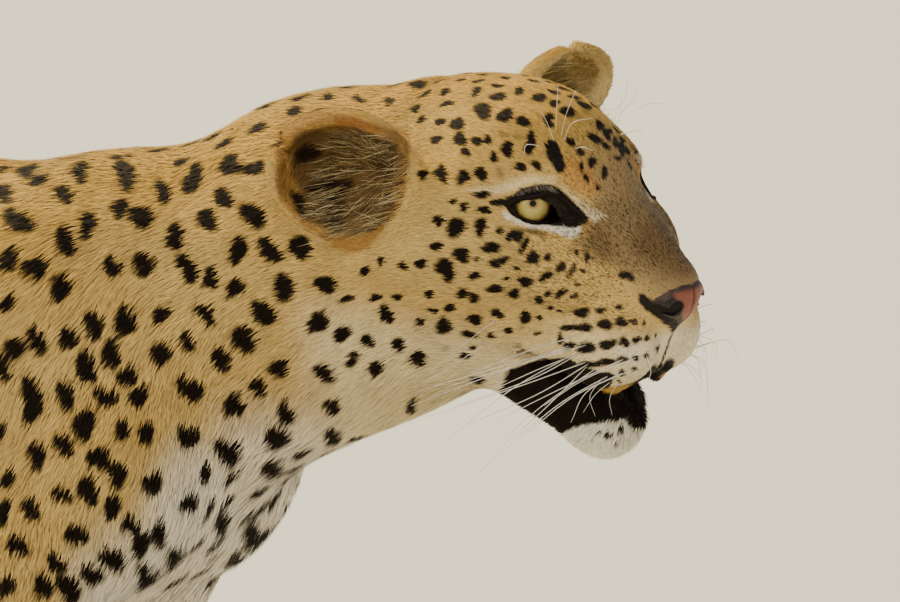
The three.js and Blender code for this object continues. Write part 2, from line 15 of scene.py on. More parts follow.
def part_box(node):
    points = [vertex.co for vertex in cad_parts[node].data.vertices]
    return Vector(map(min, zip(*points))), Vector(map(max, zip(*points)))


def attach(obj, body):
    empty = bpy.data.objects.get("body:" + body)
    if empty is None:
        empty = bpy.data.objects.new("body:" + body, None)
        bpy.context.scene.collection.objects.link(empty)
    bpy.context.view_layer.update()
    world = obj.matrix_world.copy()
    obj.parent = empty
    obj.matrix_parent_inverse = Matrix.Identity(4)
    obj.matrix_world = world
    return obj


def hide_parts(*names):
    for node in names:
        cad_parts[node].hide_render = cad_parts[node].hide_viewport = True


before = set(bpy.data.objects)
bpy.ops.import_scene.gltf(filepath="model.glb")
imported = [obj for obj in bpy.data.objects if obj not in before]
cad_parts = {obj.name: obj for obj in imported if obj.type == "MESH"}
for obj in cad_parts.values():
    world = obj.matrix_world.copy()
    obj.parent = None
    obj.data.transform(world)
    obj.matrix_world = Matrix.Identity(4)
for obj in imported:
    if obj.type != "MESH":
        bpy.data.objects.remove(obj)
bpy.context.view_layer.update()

# Driving sizes, shared with the solids
MM = 0.001
EYE_RADIUS = 14.5
EYE_OUT = 41.0
HEAD_AT = np.array([285.0, -45.0, 640.0])
JAW_HINGE = np.array([-48.0, 0.0, -36.0])
JAW_OPEN = 14.0
ELBOW_HEIGHT = 385.0
WRIST_HEIGHT = 128.0
HOCK_HEIGHT = 215.0
ANKLE_HEIGHT = 62.0
LEG_OUT = 78.0
FORE_PAW_X = {1: -95.0, -1: 62.0}
HIND_PAW_X = {1: -628.0, -1: -790.0}
FORE_PAW = {"long": 98.0, "wide": 86.0, "tall": 34.0, "toe": 15.5}
HIND_PAW = {"long": 92.0, "wide": 76.0, "tall": 32.0, "toe": 14.0}
TAIL = {
    "root": (-792.0, 0.0, 588.0), "length": 850.0, "thick": 34.0, "thin": 15.0, "links": 16, "drift": 62.0,
}

# The photograph's frame: its size in pixels, the near eye in it, and the millimetres one pixel covers there
FRAME_PX = (900, 602)
EYE_PX = (531, 207)
MM_PER_PX = 0.61
CAMERA_AZIMUTH = 22.0
CAMERA_RISE = 5.0
CAMERA_AWAY = 6000.0
SENSOR = 36.0

rng = np.random.default_rng(7)


def colour_of(code):
    """Linear colour of a six-figure sRGB code."""
    srgb = np.array([int(code[i:i + 2], 16) / 255 for i in (0, 2, 4)])
    return np.where(srgb <= 0.04045, srgb / 12.92, ((srgb + 0.055) / 1.055) ** 2.4)


OCHRE = colour_of("b88f40")
BUFF = colour_of("c5ac70")
CREAM = colour_of("dccba0")
WHITE = colour_of("e8e2d2")
BLACK = colour_of("17100b")
ORANGE = colour_of("b8742c")
GREY_BROWN = colour_of("7a6544")
DARK_BROWN = colour_of("5c4426")
EAR_DARK = colour_of("241811")
LASH_GREY = colour_of("8c8478")
EAR_HAIR = colour_of("a08a58")
EAR_RIM = colour_of("a07a40")
EAR_BROWN = colour_of("5e482c")
EAR_ORANGE_BROWN = colour_of("8a4a1c")


def smooth(value, low, high):
    """0 below low, 1 above high, eased between them."""
    share = np.clip((value - low) / (high - low), 0, 1)
    return share * share * (3 - 2 * share)


def mix(a, b, share):
    share = np.asarray(share)
    if share.ndim:
        share = share[..., None]
    return a + (b - a) * share


def unit(vectors):
    lengths = np.linalg.norm(vectors, axis=-1, keepdims=True)
    return vectors / np.maximum(lengths, 1e-9)


def turned(yaw=0.0, pitch=0.0, roll=0.0):
    cy, sy = math.cos(math.radians(yaw)), math.sin(math.radians(yaw))
    cp, sp = math.cos(math.radians(pitch)), math.sin(math.radians(pitch))
    cr, sr = math.cos(math.radians(roll)), math.sin(math.radians(roll))
    about_z = np.array([[cy, -sy, 0], [sy, cy, 0], [0, 0, 1.0]])
    about_y = np.array([[cp, 0, sp], [0, 1.0, 0], [-sp, 0, cp]])
    about_x = np.array([[1.0, 0, 0], [0, cr, -sr], [0, sr, cr]])
    return about_z @ about_y @ about_x


HEAD_TURN = turned(-14.0, 14.0, 8.0)
JAW_TURN = turned(0.0, JAW_OPEN, 0.0)


def from_head(points):
    """Points of the head's own frame, in the animal's frame."""
    return np.asarray(points, float) @ HEAD_TURN.T + HEAD_AT


def to_head(points):
    return (np.asarray(points, float) - HEAD_AT) @ HEAD_TURN


class Ball:
    """An egg-shaped form; blend is how widely it melts into the forms before it."""

    def __init__(self, centre, radii, blend=0.0, turn=None):
        self.centre = np.array(centre, float)
        self.radii = np.array(radii, float)
        self.blend = blend
        self.turn = np.eye(3) if turn is None else turn

    def placed(self, turn, at):
        return Ball(turn @ self.centre + at, self.radii, self.blend, turn @ self.turn)

    def bounds(self):
        reach = np.abs(self.turn) @ self.radii
        return self.centre - reach, self.centre + reach

    def distance(self, x, y, z):
        x, y, z = x - self.centre[0], y - self.centre[1], z - self.centre[2]
        inside = 0
        slope = 0
        for axis, radius in zip(self.turn.T, self.radii):
            share = (axis[0] * x + axis[1] * y + axis[2] * z) / radius
            inside = inside + share * share
            slope = slope + (share / radius) ** 2
        inside = np.sqrt(inside)
        return inside * (inside - 1) / np.maximum(np.sqrt(slope), 1e-6)


class Bar:
    """A round bar between two places, with a radius at each end."""

    def __init__(self, start, start_radius, end, end_radius, blend=0.0):
        self.start = np.array(start, float)
        self.end = np.array(end, float)
        self.radii = (start_radius, end_radius)
        self.blend = blend

    def placed(self, turn, at):
        return Bar(turn @ self.start + at, self.radii[0], turn @ self.end + at, self.radii[1], self.blend)

    def bounds(self):
        low = np.minimum(self.start - self.radii[0], self.end - self.radii[1])
        high = np.maximum(self.start + self.radii[0], self.end + self.radii[1])
        return low, high

    def distance(self, x, y, z):
        line = self.end - self.start
        x, y, z = x - self.start[0], y - self.start[1], z - self.start[2]
        along = np.clip((x * line[0] + y * line[1] + z * line[2]) / (line @ line), 0, 1)
        away = np.sqrt((x - along * line[0]) ** 2 + (y - along * line[1]) ** 2 + (z - along * line[2]) ** 2)
        return away - (self.radii[0] + along * (self.radii[1] - self.radii[0]))


def both(make):
    return [make(1), make(-1)]


def joined(value, distance, blend):
    """The smooth union of two distances; blend is a length or an array of them."""
    share = np.maximum(blend - np.abs(value - distance), 0) / np.maximum(blend, 1e-6)
    return np.minimum(value, distance) - share * share * blend * 0.25


def distance_at(forms, points):
    """The blended distance from a list of forms at an array of points."""
    x, y, z = np.asarray(points, float).T
    value = np.full(x.shape, 1e3)
    for form in forms:
        value = joined(value, form.distance(x, y, z), form.blend)
    return value


def surface_along(forms, origin, direction, reach):
    """The last point of a ray before it leaves the blended forms, in steps of half a millimetre."""
    steps = np.linspace(0, reach, reach * 2)
    points = np.asarray(origin, float) + steps[:, None] * np.asarray(direction, float)
    outside = distance_at(forms, points) > 0
    return points[max(int(np.argmax(outside)) - 1, 0)]


# The head, in its own frame: +X to the nose, the eyes on the Y axis
HEAD = [
    Ball((-62, 0, 6), (72, 60, 52)),
    Ball((-22, 0, 18), (50, 46, 40), 30),
    *both(lambda s: Ball((-40, 48 * s, -32), (60, 38, 52), 28)),
    Bar((10, 0, 0), 33, (72, 0, -37), 25, 24),
    *both(lambda s: Ball((18, 34 * s, -32), (42, 24, 34), 22)),
    *both(lambda s: Ball((60, 21 * s, -70), (31, 22, 31), 12)),
    Ball((84, 0, -38), (14, 17, 16), 10),
    *both(lambda s: Bar((48, 26 * s, -82), 17, (0, 50 * s, -72), 15, 16)),
    Bar((78, 0, -52), 12, (72, 0, -84), 11, 8),
    *both(lambda s: Bar((46, 37 * s, -92), 6, (64, 27 * s, -97), 6, 8)),
    *both(lambda s: Ball((-84, 44 * s, -52), (48, 36, 44), 26)),
    *both(lambda s: Ball((4, 34 * s, 24), (24, 16, 10), 14, turned(-20 * s, 0, -30 * s))),
]
JAW = [
    Ball((70, 0, -109), (22, 24, 23)),
    *both(lambda s: Bar((58, 12 * s, -105), 18, (-44, 33 * s, -80), 24, 16)),
    *both(lambda s: Bar((40, 26 * s, -92), 9, (-22, 43 * s, -70), 14, 8)),
    Ball((12, 0, -100), (58, 34, 24), 18),
]
JAW = [form.placed(JAW_TURN, JAW_HINGE - JAW_TURN @ JAW_HINGE) for form in JAW]

NECK = [
    Bar((0, 0, 548), 100, (118, -10, 602), 94, 60),
    Bar((118, -10, 602), 94, from_head((-96, 0, -26)), 73, 30),
    Bar((58, -6, 536), 78, from_head((-50, 0, -76)), 56, 36),
]
TORSO = [
    Ball((-165, 0, 506), (215, 108, 136)),
    Ball((-42, 0, 488), (98, 88, 116), 50),
    Ball((-430, 0, 520), (240, 96, 108), 60),
    Ball((-668, 0, 540), (140, 88, 98), 60),
    Bar((-60, 0, 602), 38, (-650, 0, 604), 40, 40),
    *both(lambda s: Ball((-52, 52 * s, 570), (88, 42, 74), 40, turned(0, -25, 0))),
]


def foreleg(s):
    paw_x = FORE_PAW_X[s]
    elbow = np.array([-74, 84 * s, ELBOW_HEIGHT])
    wrist = np.array([paw_x - 6, LEG_OUT * s, WRIST_HEIGHT])
    ankle = np.array([paw_x + 4, LEG_OUT * s, ANKLE_HEIGHT])
    belly = np.array([elbow[0] * 0.45 + wrist[0] * 0.55 + 6, 81 * s, 250])
    forms = [
        Ball((-26, 74 * s, 502), (60, 43, 112), 40, turned(0, -18, 0)),
        Bar((-10, 80 * s, 462), 56, elbow, 50, 36),
        Bar(elbow + (8, 0, -8), 50, belly, 38, 24),
        Bar(belly, 38, wrist, 29, 14),
        Bar(wrist, 31, ankle, 30, 14),
    ]
    return {"forms": forms, "joints": [(-10, 80 * s, 520), elbow, wrist, ankle],
            "paw": (paw_x + 26, LEG_OUT * s), "size": FORE_PAW}


def hindleg(s):
    paw_x = HIND_PAW_X[s]
    stifle = np.array([-606, 88 * s, 420])
    hock = np.array([paw_x - 58, LEG_OUT * s, HOCK_HEIGHT])
    ankle = np.array([paw_x - 20, LEG_OUT * s, ANKLE_HEIGHT])
    calf = np.array([stifle[0] * 0.5 + hock[0] * 0.5 - 4, 84 * s, 318])
    forms = [
        Ball((-682, 62 * s, 520), (96, 48, 128), 50, turned(0, -18, 0)),
        Bar((-692, 72 * s, 498), 70, stifle, 56, 40),
        Bar(stifle, 54, calf, 42, 26),
        Bar(calf, 42, hock, 26, 18),
        Bar(hock + (-14, 0, 12), 19, calf + (-24, 0, 6), 22, 14),
        Bar(hock, 26, ankle, 27, 12),
    ]
    return {"forms": forms, "joints": [(-700, 70 * s, 540), stifle, hock, ankle],
            "paw": (paw_x + 8, LEG_OUT * s), "size": HIND_PAW}


LEGS = [foreleg(1), foreleg(-1), hindleg(1), hindleg(-1)]


def paw_forms(leg):
    """A low rounded palm with four toes ahead of it."""
    (x, y), size = leg["paw"], leg["size"]
    forms = [Ball((x - size["long"] * 0.08, y, size["tall"] * 0.8),
                  (size["long"] * 0.42, size["wide"] * 0.43, size["tall"] * 0.94), 14)]
    for toe in range(4):
        aside = toe - 1.5
        ahead = size["long"] * (0.28 if toe in (1, 2) else 0.17)
        radii = (size["long"] * 0.25, size["toe"] * 0.82, size["toe"] * 1.25)
        centre = (x + ahead, y + aside * size["wide"] * 0.245, size["toe"] * 1.05)
        forms.append(Ball(centre, radii, 5, turned(aside * 6)))
    return forms


def tail_line():
    """The tail drops from the rump, then curls up towards its tip."""
    points = [np.array(TAIL["root"])]
    step = TAIL["length"] / TAIL["links"]
    drift = TAIL["drift"] / TAIL["links"]
    for link in range(TAIL["links"]):
        share = (link + 0.5) / TAIL["links"]
        slope = 45 + 35 * math.sin(math.pi * min(share / 0.6, 1)) - 105 * float(smooth(share, 0.35, 1))
        slope = math.radians(slope)
        points.append(points[-1] + (-math.cos(slope) * step, drift, -math.sin(slope) * step))
    return points


def tail_radius(share):
    return TAIL["thick"] + (TAIL["thin"] - TAIL["thick"]) * share ** 0.7


TAIL_LINE = tail_line()
TAIL_FORMS = [
    Bar(TAIL_LINE[i], tail_radius(i / TAIL["links"]), TAIL_LINE[i + 1], tail_radius((i + 1) / TAIL["links"]),
        30 if i == 0 else 8)
    for i in range(TAIL["links"])
]

# Ears, in the head's frame; pale makes an ear's cup paler, with less painted shade in its middle, and gives
# it fewer hairs
EARS = {
    "right": {"base": (-84, -68, -8), "tip": (-0.68, -0.7, 0.22), "facing": (0.6, -0.72, 0.05),
              "long": 82, "wide": 41, "deep": 27, "notch": (0.16, 1.0, 4.5, 12), "pale": 0.0},
    "left": {"base": (-80, 52, 16), "tip": (0.3, 0.8, 0.5), "facing": (0.84, -0.34, 0.1),
             "long": 68, "wide": 27, "deep": 19, "notch": (-0.8, 0.7, 6, 3), "pale": 0.8},
}
for ear in EARS.values():
    ear["along"] = unit(np.array(ear["tip"], float))
    facing = np.array(ear["facing"], float)
    ear["face"] = unit(facing - ear["along"] * (facing @ ear["along"]))
    ear["across"] = np.cross(ear["along"], ear["face"])
    ear["turn"] = np.column_stack([ear["face"], ear["across"], ear["along"]])


def ear_spot(ear, ahead, aside, up):
    return np.array(ear["base"], float) + ear["face"] * ahead + ear["across"] * aside + ear["along"] * up


def ear_rise(ear, local):
    """How far along an ear from its base points of the head's frame lie."""
    return (local - np.array(ear["base"])) @ ear["along"]


def ear_forms(ear):
    """The outer shell of an ear, the cup cut from it and the notch in its edge."""
    long, wide, deep = ear["long"], ear["wide"], ear["deep"]
    shell = Ball(ear_spot(ear, 0, 0, long * 0.42), (deep, wide, long * 0.57), 10, ear["turn"])
    cup_radii = (deep * 1.4, wide * 0.86, long * 0.47)
    cup = Ball(ear_spot(ear, deep * 0.9, 0, long * 0.48), cup_radii, 4, ear["turn"])
    aside, up, broad, tall = ear["notch"]
    notch = Ball(ear_spot(ear, 0, aside * wide, up * long), (deep, broad, tall), 2, ear["turn"])
    return shell, cup, notch


# Lips: places along the head's middle plane and the angle round it at which each lip lies
UPPER_LIP = ((80, -70, -66), (64, -70, -56), (40, -66, -50), (16, -58, -50))
LOWER_LIP = ((72, -126, 62), (58, -122, 50), (34, -112, 42), (8, -102, 36))
LIP_RADIUS = 3.6
LIP_REACH = 120


def lip_line(forms, lip, s):
    points = []
    for x, z, angle in lip:
        direction = (0, math.cos(math.radians(angle)) * s, math.sin(math.radians(angle)))
        points.append(surface_along(forms, (x, 0, z), direction, LIP_REACH))
    return points


LIP_LINES = [lip_line(HEAD, UPPER_LIP, s) for s in (1, -1)] + [lip_line(JAW, LOWER_LIP, s) for s in (1, -1)]
LIP_FORMS = [Bar(a, LIP_RADIUS, b, LIP_RADIUS, 5) for line in LIP_LINES for a, b in zip(line, line[1:])]


# Skin, from a grid that is fine round the head and coarser elsewhere
FAR = 60.0
FINE_STEP = 2.2
COARSE_STEP = 6.5
STEP_GROWTH = 1.1
GRID_MARGIN = 16
WHOLE_GRID = (slice(None),) * 3


def grid_lines(low, fine_low, fine_high, high):
    """Grid places along one axis: evenly fine between the middle two limits, then wider step by step."""
    lines = list(np.arange(fine_low, fine_high, FINE_STEP))
    step = FINE_STEP
    while lines[-1] < high:
        step = min(step * STEP_GROWTH, COARSE_STEP)
        lines.append(lines[-1] + step)
    step = FINE_STEP
    while lines[0] > low:
        step = min(step * STEP_GROWTH, COARSE_STEP)
        lines.insert(0, lines[0] - step)
    return np.array(lines)


class Grid:
    """Distances from a growing surface, kept at the crossings of the grid's lines."""

    def __init__(self, axes):
        self.axes = axes
        self.values = np.full([len(axis) for axis in axes], FAR, np.float32)

    def window(self, bounds, margin):
        slices = []
        for axis, low, high in zip(self.axes, *bounds):
            first = int(np.searchsorted(axis, low - margin))
            last = int(np.searchsorted(axis, high + margin)) + 1
            slices.append(slice(max(first - 1, 0), last))
        return tuple(slices)

    def places(self, window):
        x, y, z = (axis[part].astype(np.float32) for axis, part in zip(self.axes, window))
        return x[:, None, None], y[None, :, None], z[None, None, :]

    def join(self, form):
        window = self.window(form.bounds(), form.blend + GRID_MARGIN)
        here = self.values[window]
        self.values[window] = joined(here, form.distance(*self.places(window)), form.blend)

    def cut(self, form):
        window = self.window(form.bounds(), form.blend + GRID_MARGIN)
        here = self.values[window]
        self.values[window] = -joined(-here, form.distance(*self.places(window)), form.blend)

    def mesh(self):
        """Points and outward four-sided faces of the surface where the value is 0."""
        volume = openvdb.FloatGrid(FAR)
        volume.copyFromArray(self.values)
        points, quads = volume.convertToQuads(isovalue=0.0)
        places = [np.interp(points[:, i], np.arange(len(axis)), axis) for i, axis in enumerate(self.axes)]
        return np.column_stack(places), quads.astype(np.int32)


def head_places(x, y, z):
    """The head-frame coordinates of grid places, as three arrays."""
    x, y, z = x - HEAD_AT[0], y - HEAD_AT[1], z - HEAD_AT[2]
    return [HEAD_TURN[0, i] * x + HEAD_TURN[1, i] * y + HEAD_TURN[2, i] * z for i in range(3)]


def coat_depth(x, y, z):
    """How far the skin lies inside the animal's outline."""
    along, _, _ = head_places(x, y, z)
    on_head = smooth(along, -150, -70) * smooth(z, 420, 520)
    head_depth = 2.6 - 1.4 * smooth(along, 10, 70)
    body_depth = 1.2 + 3.0 * smooth(z, 40, 420)
    return (body_depth + (head_depth - body_depth) * on_head).astype(np.float32)


EYE_OPENING = [
    Ball((2.8, 0, 0), (16.9, 21, 8.6), 2.5),
    Ball((15, 0, -2.2), (9, 20, 3.6), 2),
]


def eye_frame(s):
    """The turn of an eye: x ahead along the face, y outwards, z up."""
    return turned(-37 * s, 0, 0) @ np.diag([1, s, 1])


def skin_mesh():
    """Points and faces of the skin, from every form of the body."""
    grid = Grid([
        grid_lines(-1450, 175, 420, 440),
        grid_lines(-190, -150, 75, 190),
        grid_lines(-12, 480, 725, 770),
    ])
    head_turn = (HEAD_TURN, HEAD_AT)
    for form in TORSO + NECK:
        grid.join(form)
    for form in HEAD:
        grid.join(form.placed(*head_turn))
    for leg in LEGS:
        for form in leg["forms"] + paw_forms(leg):
            grid.join(form)
    for form in TAIL_FORMS:
        grid.join(form)
    join_jaw(grid)
    for form in LIP_FORMS:
        grid.join(form.placed(*head_turn))
    grid.values += coat_depth(*grid.places(WHOLE_GRID))
    for ear in EARS.values():
        shell, cup, notch = ear_forms(ear)
        grid.join(shell.placed(*head_turn))
        grid.cut(cup.placed(*head_turn))
        grid.cut(notch.placed(*head_turn))
    for s in (1, -1):
        for form in EYE_OPENING:
            grid.cut(form.placed(eye_frame(s), np.array([0, EYE_OUT * s, 0])).placed(*head_turn))
    points, quads = grid.mesh()
    points[:, 2] = np.maximum(points[:, 2], 0)
    return points, quads


def join_jaw(grid):
    """Join the jaw: smoothly behind the corners of the mouth, and with a groove ahead of them."""
    corner = from_head((10, 0, -95))
    window = grid.window((corner - 120, corner + 120), 0)
    places = grid.places(window)
    skull = grid.values[window]
    jaw = np.full(skull.shape, FAR, np.float32)
    for form in JAW:
        jaw = joined(jaw, form.placed(HEAD_TURN, HEAD_AT).distance(*places), form.blend)
    along, _, up = head_places(*places)
    throat = -102 - 0.3 * along
    ahead = smooth(along, 0, 22) * smooth(up, throat, throat + 12)
    value = joined(skull, jaw, 26 * (1 - ahead) + 0.5)
    groove = np.sqrt(skull * skull + jaw * jaw) - 3.2 * ahead
    grid.values[window] = np.where(ahead > 0, np.maximum(value, -groove), value)


# From the animal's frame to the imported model's frame
eye_low, eye_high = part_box("eye_right")
SHIFT = np.array((eye_low + eye_high) / 2) / MM - from_head((0, -EYE_OUT, 0))


COLOUR_LAYER = "coat_colour"


def mesh_piece(name, points, faces, material):
    """A mesh object from points in millimetres and an array of faces with the same number of corners."""
    mesh = bpy.data.meshes.new(name)
    corners = faces.shape[1]
    mesh.vertices.add(len(points))
    mesh.vertices.foreach_set("co", ((points + SHIFT) * MM).astype(np.float32).ravel())
    mesh.loops.add(faces.size)
    mesh.loops.foreach_set("vertex_index", faces.astype(np.int32).ravel())
    mesh.polygons.add(len(faces))
    mesh.polygons.foreach_set("loop_start", np.arange(0, faces.size, corners, dtype=np.int32))
    mesh.polygons.foreach_set("use_smooth", np.ones(len(faces), bool))
    mesh.update(calc_edges=True)
    mesh.materials.append(material)
    piece = bpy.data.objects.new(name, mesh)
    bpy.context.scene.collection.objects.link(piece)
    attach(piece, "root")
    return piece


def paint(piece, colours):
    """Give each point of a piece its colour."""
    layer = piece.data.color_attributes.new(COLOUR_LAYER, "FLOAT_COLOR", "POINT")
    opaque = np.column_stack([colours, np.ones(len(colours))])
    layer.data.foreach_set("color", opaque.astype(np.float32).ravel())


def point_normals(points, faces):
    """Smooth normals at the points of three- or four-sided faces."""
    a, b, c = (points[faces[:, i]] for i in range(3))
    across = np.cross(b - a, c - a)
    if faces.shape[1] == 4:
        across = np.cross(c - a, points[faces[:, 3]] - b)
    normals = np.zeros_like(points)
    for i in range(faces.shape[1]):
        for axis in range(3):
            normals[:, axis] += np.bincount(faces[:, i], across[:, axis], len(points))
    return unit(normals)


# Materials; each bump is the scale of its grain, its depth in millimetres and its kind
NOISE = "ShaderNodeTexNoise"
CELLS = "ShaderNodeTexVoronoi"


def material(name, roughness, specular, bump=(), coat=0.0, sheen=0.0):
    """A glossy or matt material coloured from the piece's points, with an optional fine bump."""
    made = bpy.data.materials.new(name)
    made.use_nodes = True
    nodes, links = made.node_tree.nodes, made.node_tree.links
    shader = nodes["Principled BSDF"]
    shader.inputs["Roughness"].default_value = roughness
    shader.inputs["Coat Weight"].default_value = coat
    shader.inputs["Coat Roughness"].default_value = 0.03
    shader.inputs["Sheen Weight"].default_value = sheen
    shader.inputs["Sheen Roughness"].default_value = 0.4
    shader.inputs["Specular IOR Level"].default_value = specular
    source = nodes.new("ShaderNodeVertexColor")
    source.layer_name = COLOUR_LAYER
    links.new(source.outputs["Color"], shader.inputs["Base Color"])
    if bump:
        place = nodes.new("ShaderNodeTexCoord")
    for scale, depth, kind in bump:
        grain = nodes.new(kind)
        grain.inputs["Scale"].default_value = scale
        height = grain.outputs["Distance" if kind == CELLS else "Fac"]
        relief = nodes.new("ShaderNodeBump")
        relief.inputs["Distance"].default_value = depth * MM
        relief.inputs["Strength"].default_value = 0.8
        links.new(place.outputs["Object"], grain.inputs["Vector"])
        links.new(height, relief.inputs["Height"])
        if shader.inputs["Normal"].links:
            links.new(shader.inputs["Normal"].links[0].from_socket, relief.inputs["Normal"])
        links.new(relief.outputs["Normal"], shader.inputs["Normal"])
    return made


SKIN = material("skin", 0.75, 0.2, [(420, 1.2, NOISE), (90, 1.5, NOISE)], sheen=0.1)
HAIR = material("coat", 0.75, 0.07)
LEATHER = material("nose_leather", 0.42, 0.3, [(700, 0.5, CELLS)])
LID = material("lid", 0.6, 0.1, [(900, 0.6, NOISE)])
EYE = material("eye", 0.3, 0.0, coat=0.7)
WHISKER = material("whisker", 0.35, 0.5)

# The camera, placed so that the near eye lies at its pixel of the photograph
AZIMUTH = math.radians(CAMERA_AZIMUTH)
RISE = math.radians(CAMERA_RISE)
LEVEL = math.cos(RISE)
BACK = np.array([math.sin(AZIMUTH) * LEVEL, -math.cos(AZIMUTH) * LEVEL, math.sin(RISE)])
RIGHT = np.array([math.cos(AZIMUTH), math.sin(AZIMUTH), 0.0])
UP = np.cross(BACK, RIGHT)


def pixel_place(px, py):
    """The point of a pixel on the plane through the near eye that faces the camera."""
    eye = from_head((0, -EYE_OUT, 0))
    return eye + RIGHT * (px - EYE_PX[0]) * MM_PER_PX + UP * (EYE_PX[1] - py) * MM_PER_PX


TARGET = pixel_place(FRAME_PX[0] / 2, FRAME_PX[1] / 2)
CAMERA_AT = TARGET + BACK * CAMERA_AWAY


def make_camera():
    camera = bpy.data.objects.new("camera", bpy.data.cameras.new("camera"))
    camera.data.sensor_width = SENSOR
    camera.data.lens = SENSOR * CAMERA_AWAY / (FRAME_PX[0] * MM_PER_PX)
    camera.data.clip_end = 2000
    camera.location = Vector((CAMERA_AT + SHIFT) * MM)
    camera.rotation_mode = "QUATERNION"
    camera.rotation_quaternion = Vector(-BACK).to_track_quat("-Z", "Y")
    bpy.context.scene.collection.objects.link(camera)
    bpy.context.scene.camera = camera


make_camera()

skin_points, skin_faces = skin_mesh()
skin_normals = point_normals(skin_points, skin_faces)
skin_tree = BVHTree.FromPolygons(skin_points.tolist(), skin_faces.tolist())


def pinned(px, py):
    """The skin under a pixel of the photograph, in the animal's frame, or None."""
    direction = unit(pixel_place(px, py) - CAMERA_AT)
    place, normal, _, _ = skin_tree.ray_cast(Vector(CAMERA_AT), Vector(direction))
    return None if place is None else (np.array(place), np.array(normal))


def pixel_of(points):
    """The pixels of the photograph at which points of the animal's frame appear."""
    offset = points - CAMERA_AT
    away = -(offset @ BACK)
    scale = CAMERA_AWAY / away / MM_PER_PX
    across = FRAME_PX[0] / 2 + offset @ RIGHT * scale
    down = FRAME_PX[1] / 2 - offset @ UP * scale
    return np.column_stack([across, down])


def outline_gap(outline, places):
    """The distance of flat points from a closed outline, below 0 inside it."""
    outline = np.asarray(outline, float)
    gap = np.full(len(places), 1e6)
    inside = np.zeros(len(places), bool)
    for a, b in zip(outline, np.roll(outline, -1, axis=0)):
        line = b - a
        share = np.clip((places - a) @ line / max(line @ line, 1e-9), 0, 1)
        gap = np.minimum(gap, np.linalg.norm(places - a - share[:, None] * line, axis=1))
        if line[1]:
            spans = (a[1] > places[:, 1]) != (b[1] > places[:, 1])
            inside ^= spans & (places[:, 0] < a[0] + (places[:, 1] - a[1]) * line[0] / line[1])
    return np.where(inside, -gap, gap)


def enlarged(corner, scale, places):
    """Pixels of the photograph for places read on an enlargement of it."""
    return np.asarray(places, float) / scale + corner


def nearest(point):
    place, normal, _, _ = skin_tree.find_nearest(Vector(point))
    return np.array(place), np.array(normal)


def mirrored(point):
    """The other side's match of a point: across the head's own middle plane, or the body's."""
    local = to_head(point)
    on_head = local[0] > -110 and point[2] > 440
    if on_head:
        return from_head(local * (1, -1, 1))
    return np.array(point) * (1, -1, 1)


def nose_profile():
    """The leather's outline seen from the front: across, up."""
    half = [(0, -62), (3, -56), (8, -52), (17, -48), (22, -43), (21, -37), (16, -31), (8, -28), (0, -28)]
    return np.array(half + [(-y, z) for y, z in half[-2:0:-1]], float)


NOSE_PROFILE = nose_profile()


def nose_outline(y, z):
    """The distance from the leather's outline, below 0 inside it."""
    return outline_gap(NOSE_PROFILE, np.column_stack([np.ravel(y), np.ravel(z)])).reshape(np.shape(y))


# Bones: a line through each part, its thickness, the way its hair lies and the hair's length
def make_bone(start, end, radius, lie, hair):
    return {"line": (start, end), "radius": radius, "lie": lie, "hair": hair}


def bones():
    """The bones of the head, jaw, neck, chest, trunk, legs and tail; no lie means away from the nose."""
    chain = [
        make_bone(from_head((-70, 0, -14)), from_head((60, 0, -56)), 62, None, 7),
        make_bone(from_head((-20, 0, -90)), from_head((60, 0, -120)), 28, None, 7),
        make_bone((20, 0, 560), from_head((-100, 0, -26)), 88, (-1, 0, -0.35), 8.5),
        make_bone((10, 0, 470), (60, 0, 530), 90, (-0.45, 0, -1), 12),
        make_bone((-640, 0, 530), (-80, 0, 520), 104, (-1, 0, -0.22), 13),
    ]
    for leg in LEGS:
        top, middle, low, ankle = (np.array(joint, float) for joint in leg["joints"])
        paw = np.array([*leg["paw"], 12.0])
        chain.append(make_bone(top, middle, 60, (-0.4, 0, -1), 11))
        chain.append(make_bone(middle, low, 36, unit(low - middle), 9))
        chain.append(make_bone(low, ankle, 28, unit(ankle - low), 6))
        chain.append(make_bone(paw - (30, 0, 0), paw + (30, 0, 0), 22, (1, 0, -0.5), 4.5))
    for first, last in ((0, 5), (5, 11), (11, 16)):
        start, end = TAIL_LINE[first], TAIL_LINE[last]
        chain.append(make_bone(start, end, 24, unit(end - start), 14))
    return chain


BONES = bones()


def bone_nearness(points):
    """For each bone, its pull on each point and the way from it to each point."""
    pulls, aways = [], []
    for bone in BONES:
        start, end = (np.asarray(place, float) for place in bone["line"])
        line = end - start
        along = np.clip((points - start) @ line / (line @ line), 0, 1)
        away = points - (start + along[:, None] * line)
        distance = np.linalg.norm(away, axis=1) - bone["radius"]
        pulls.append(np.exp(-np.clip(distance, -40, 400) / 14))
        aways.append(away)
    return np.array(pulls), aways


NOSE_TIP = from_head((104, 0, -44))


def eye_distance(local):
    """The distance of points of the head's frame from the nearer eye's centre."""
    return np.min([np.linalg.norm(local - (0, EYE_OUT * s, 0), axis=-1) for s in (1, -1)], axis=0)


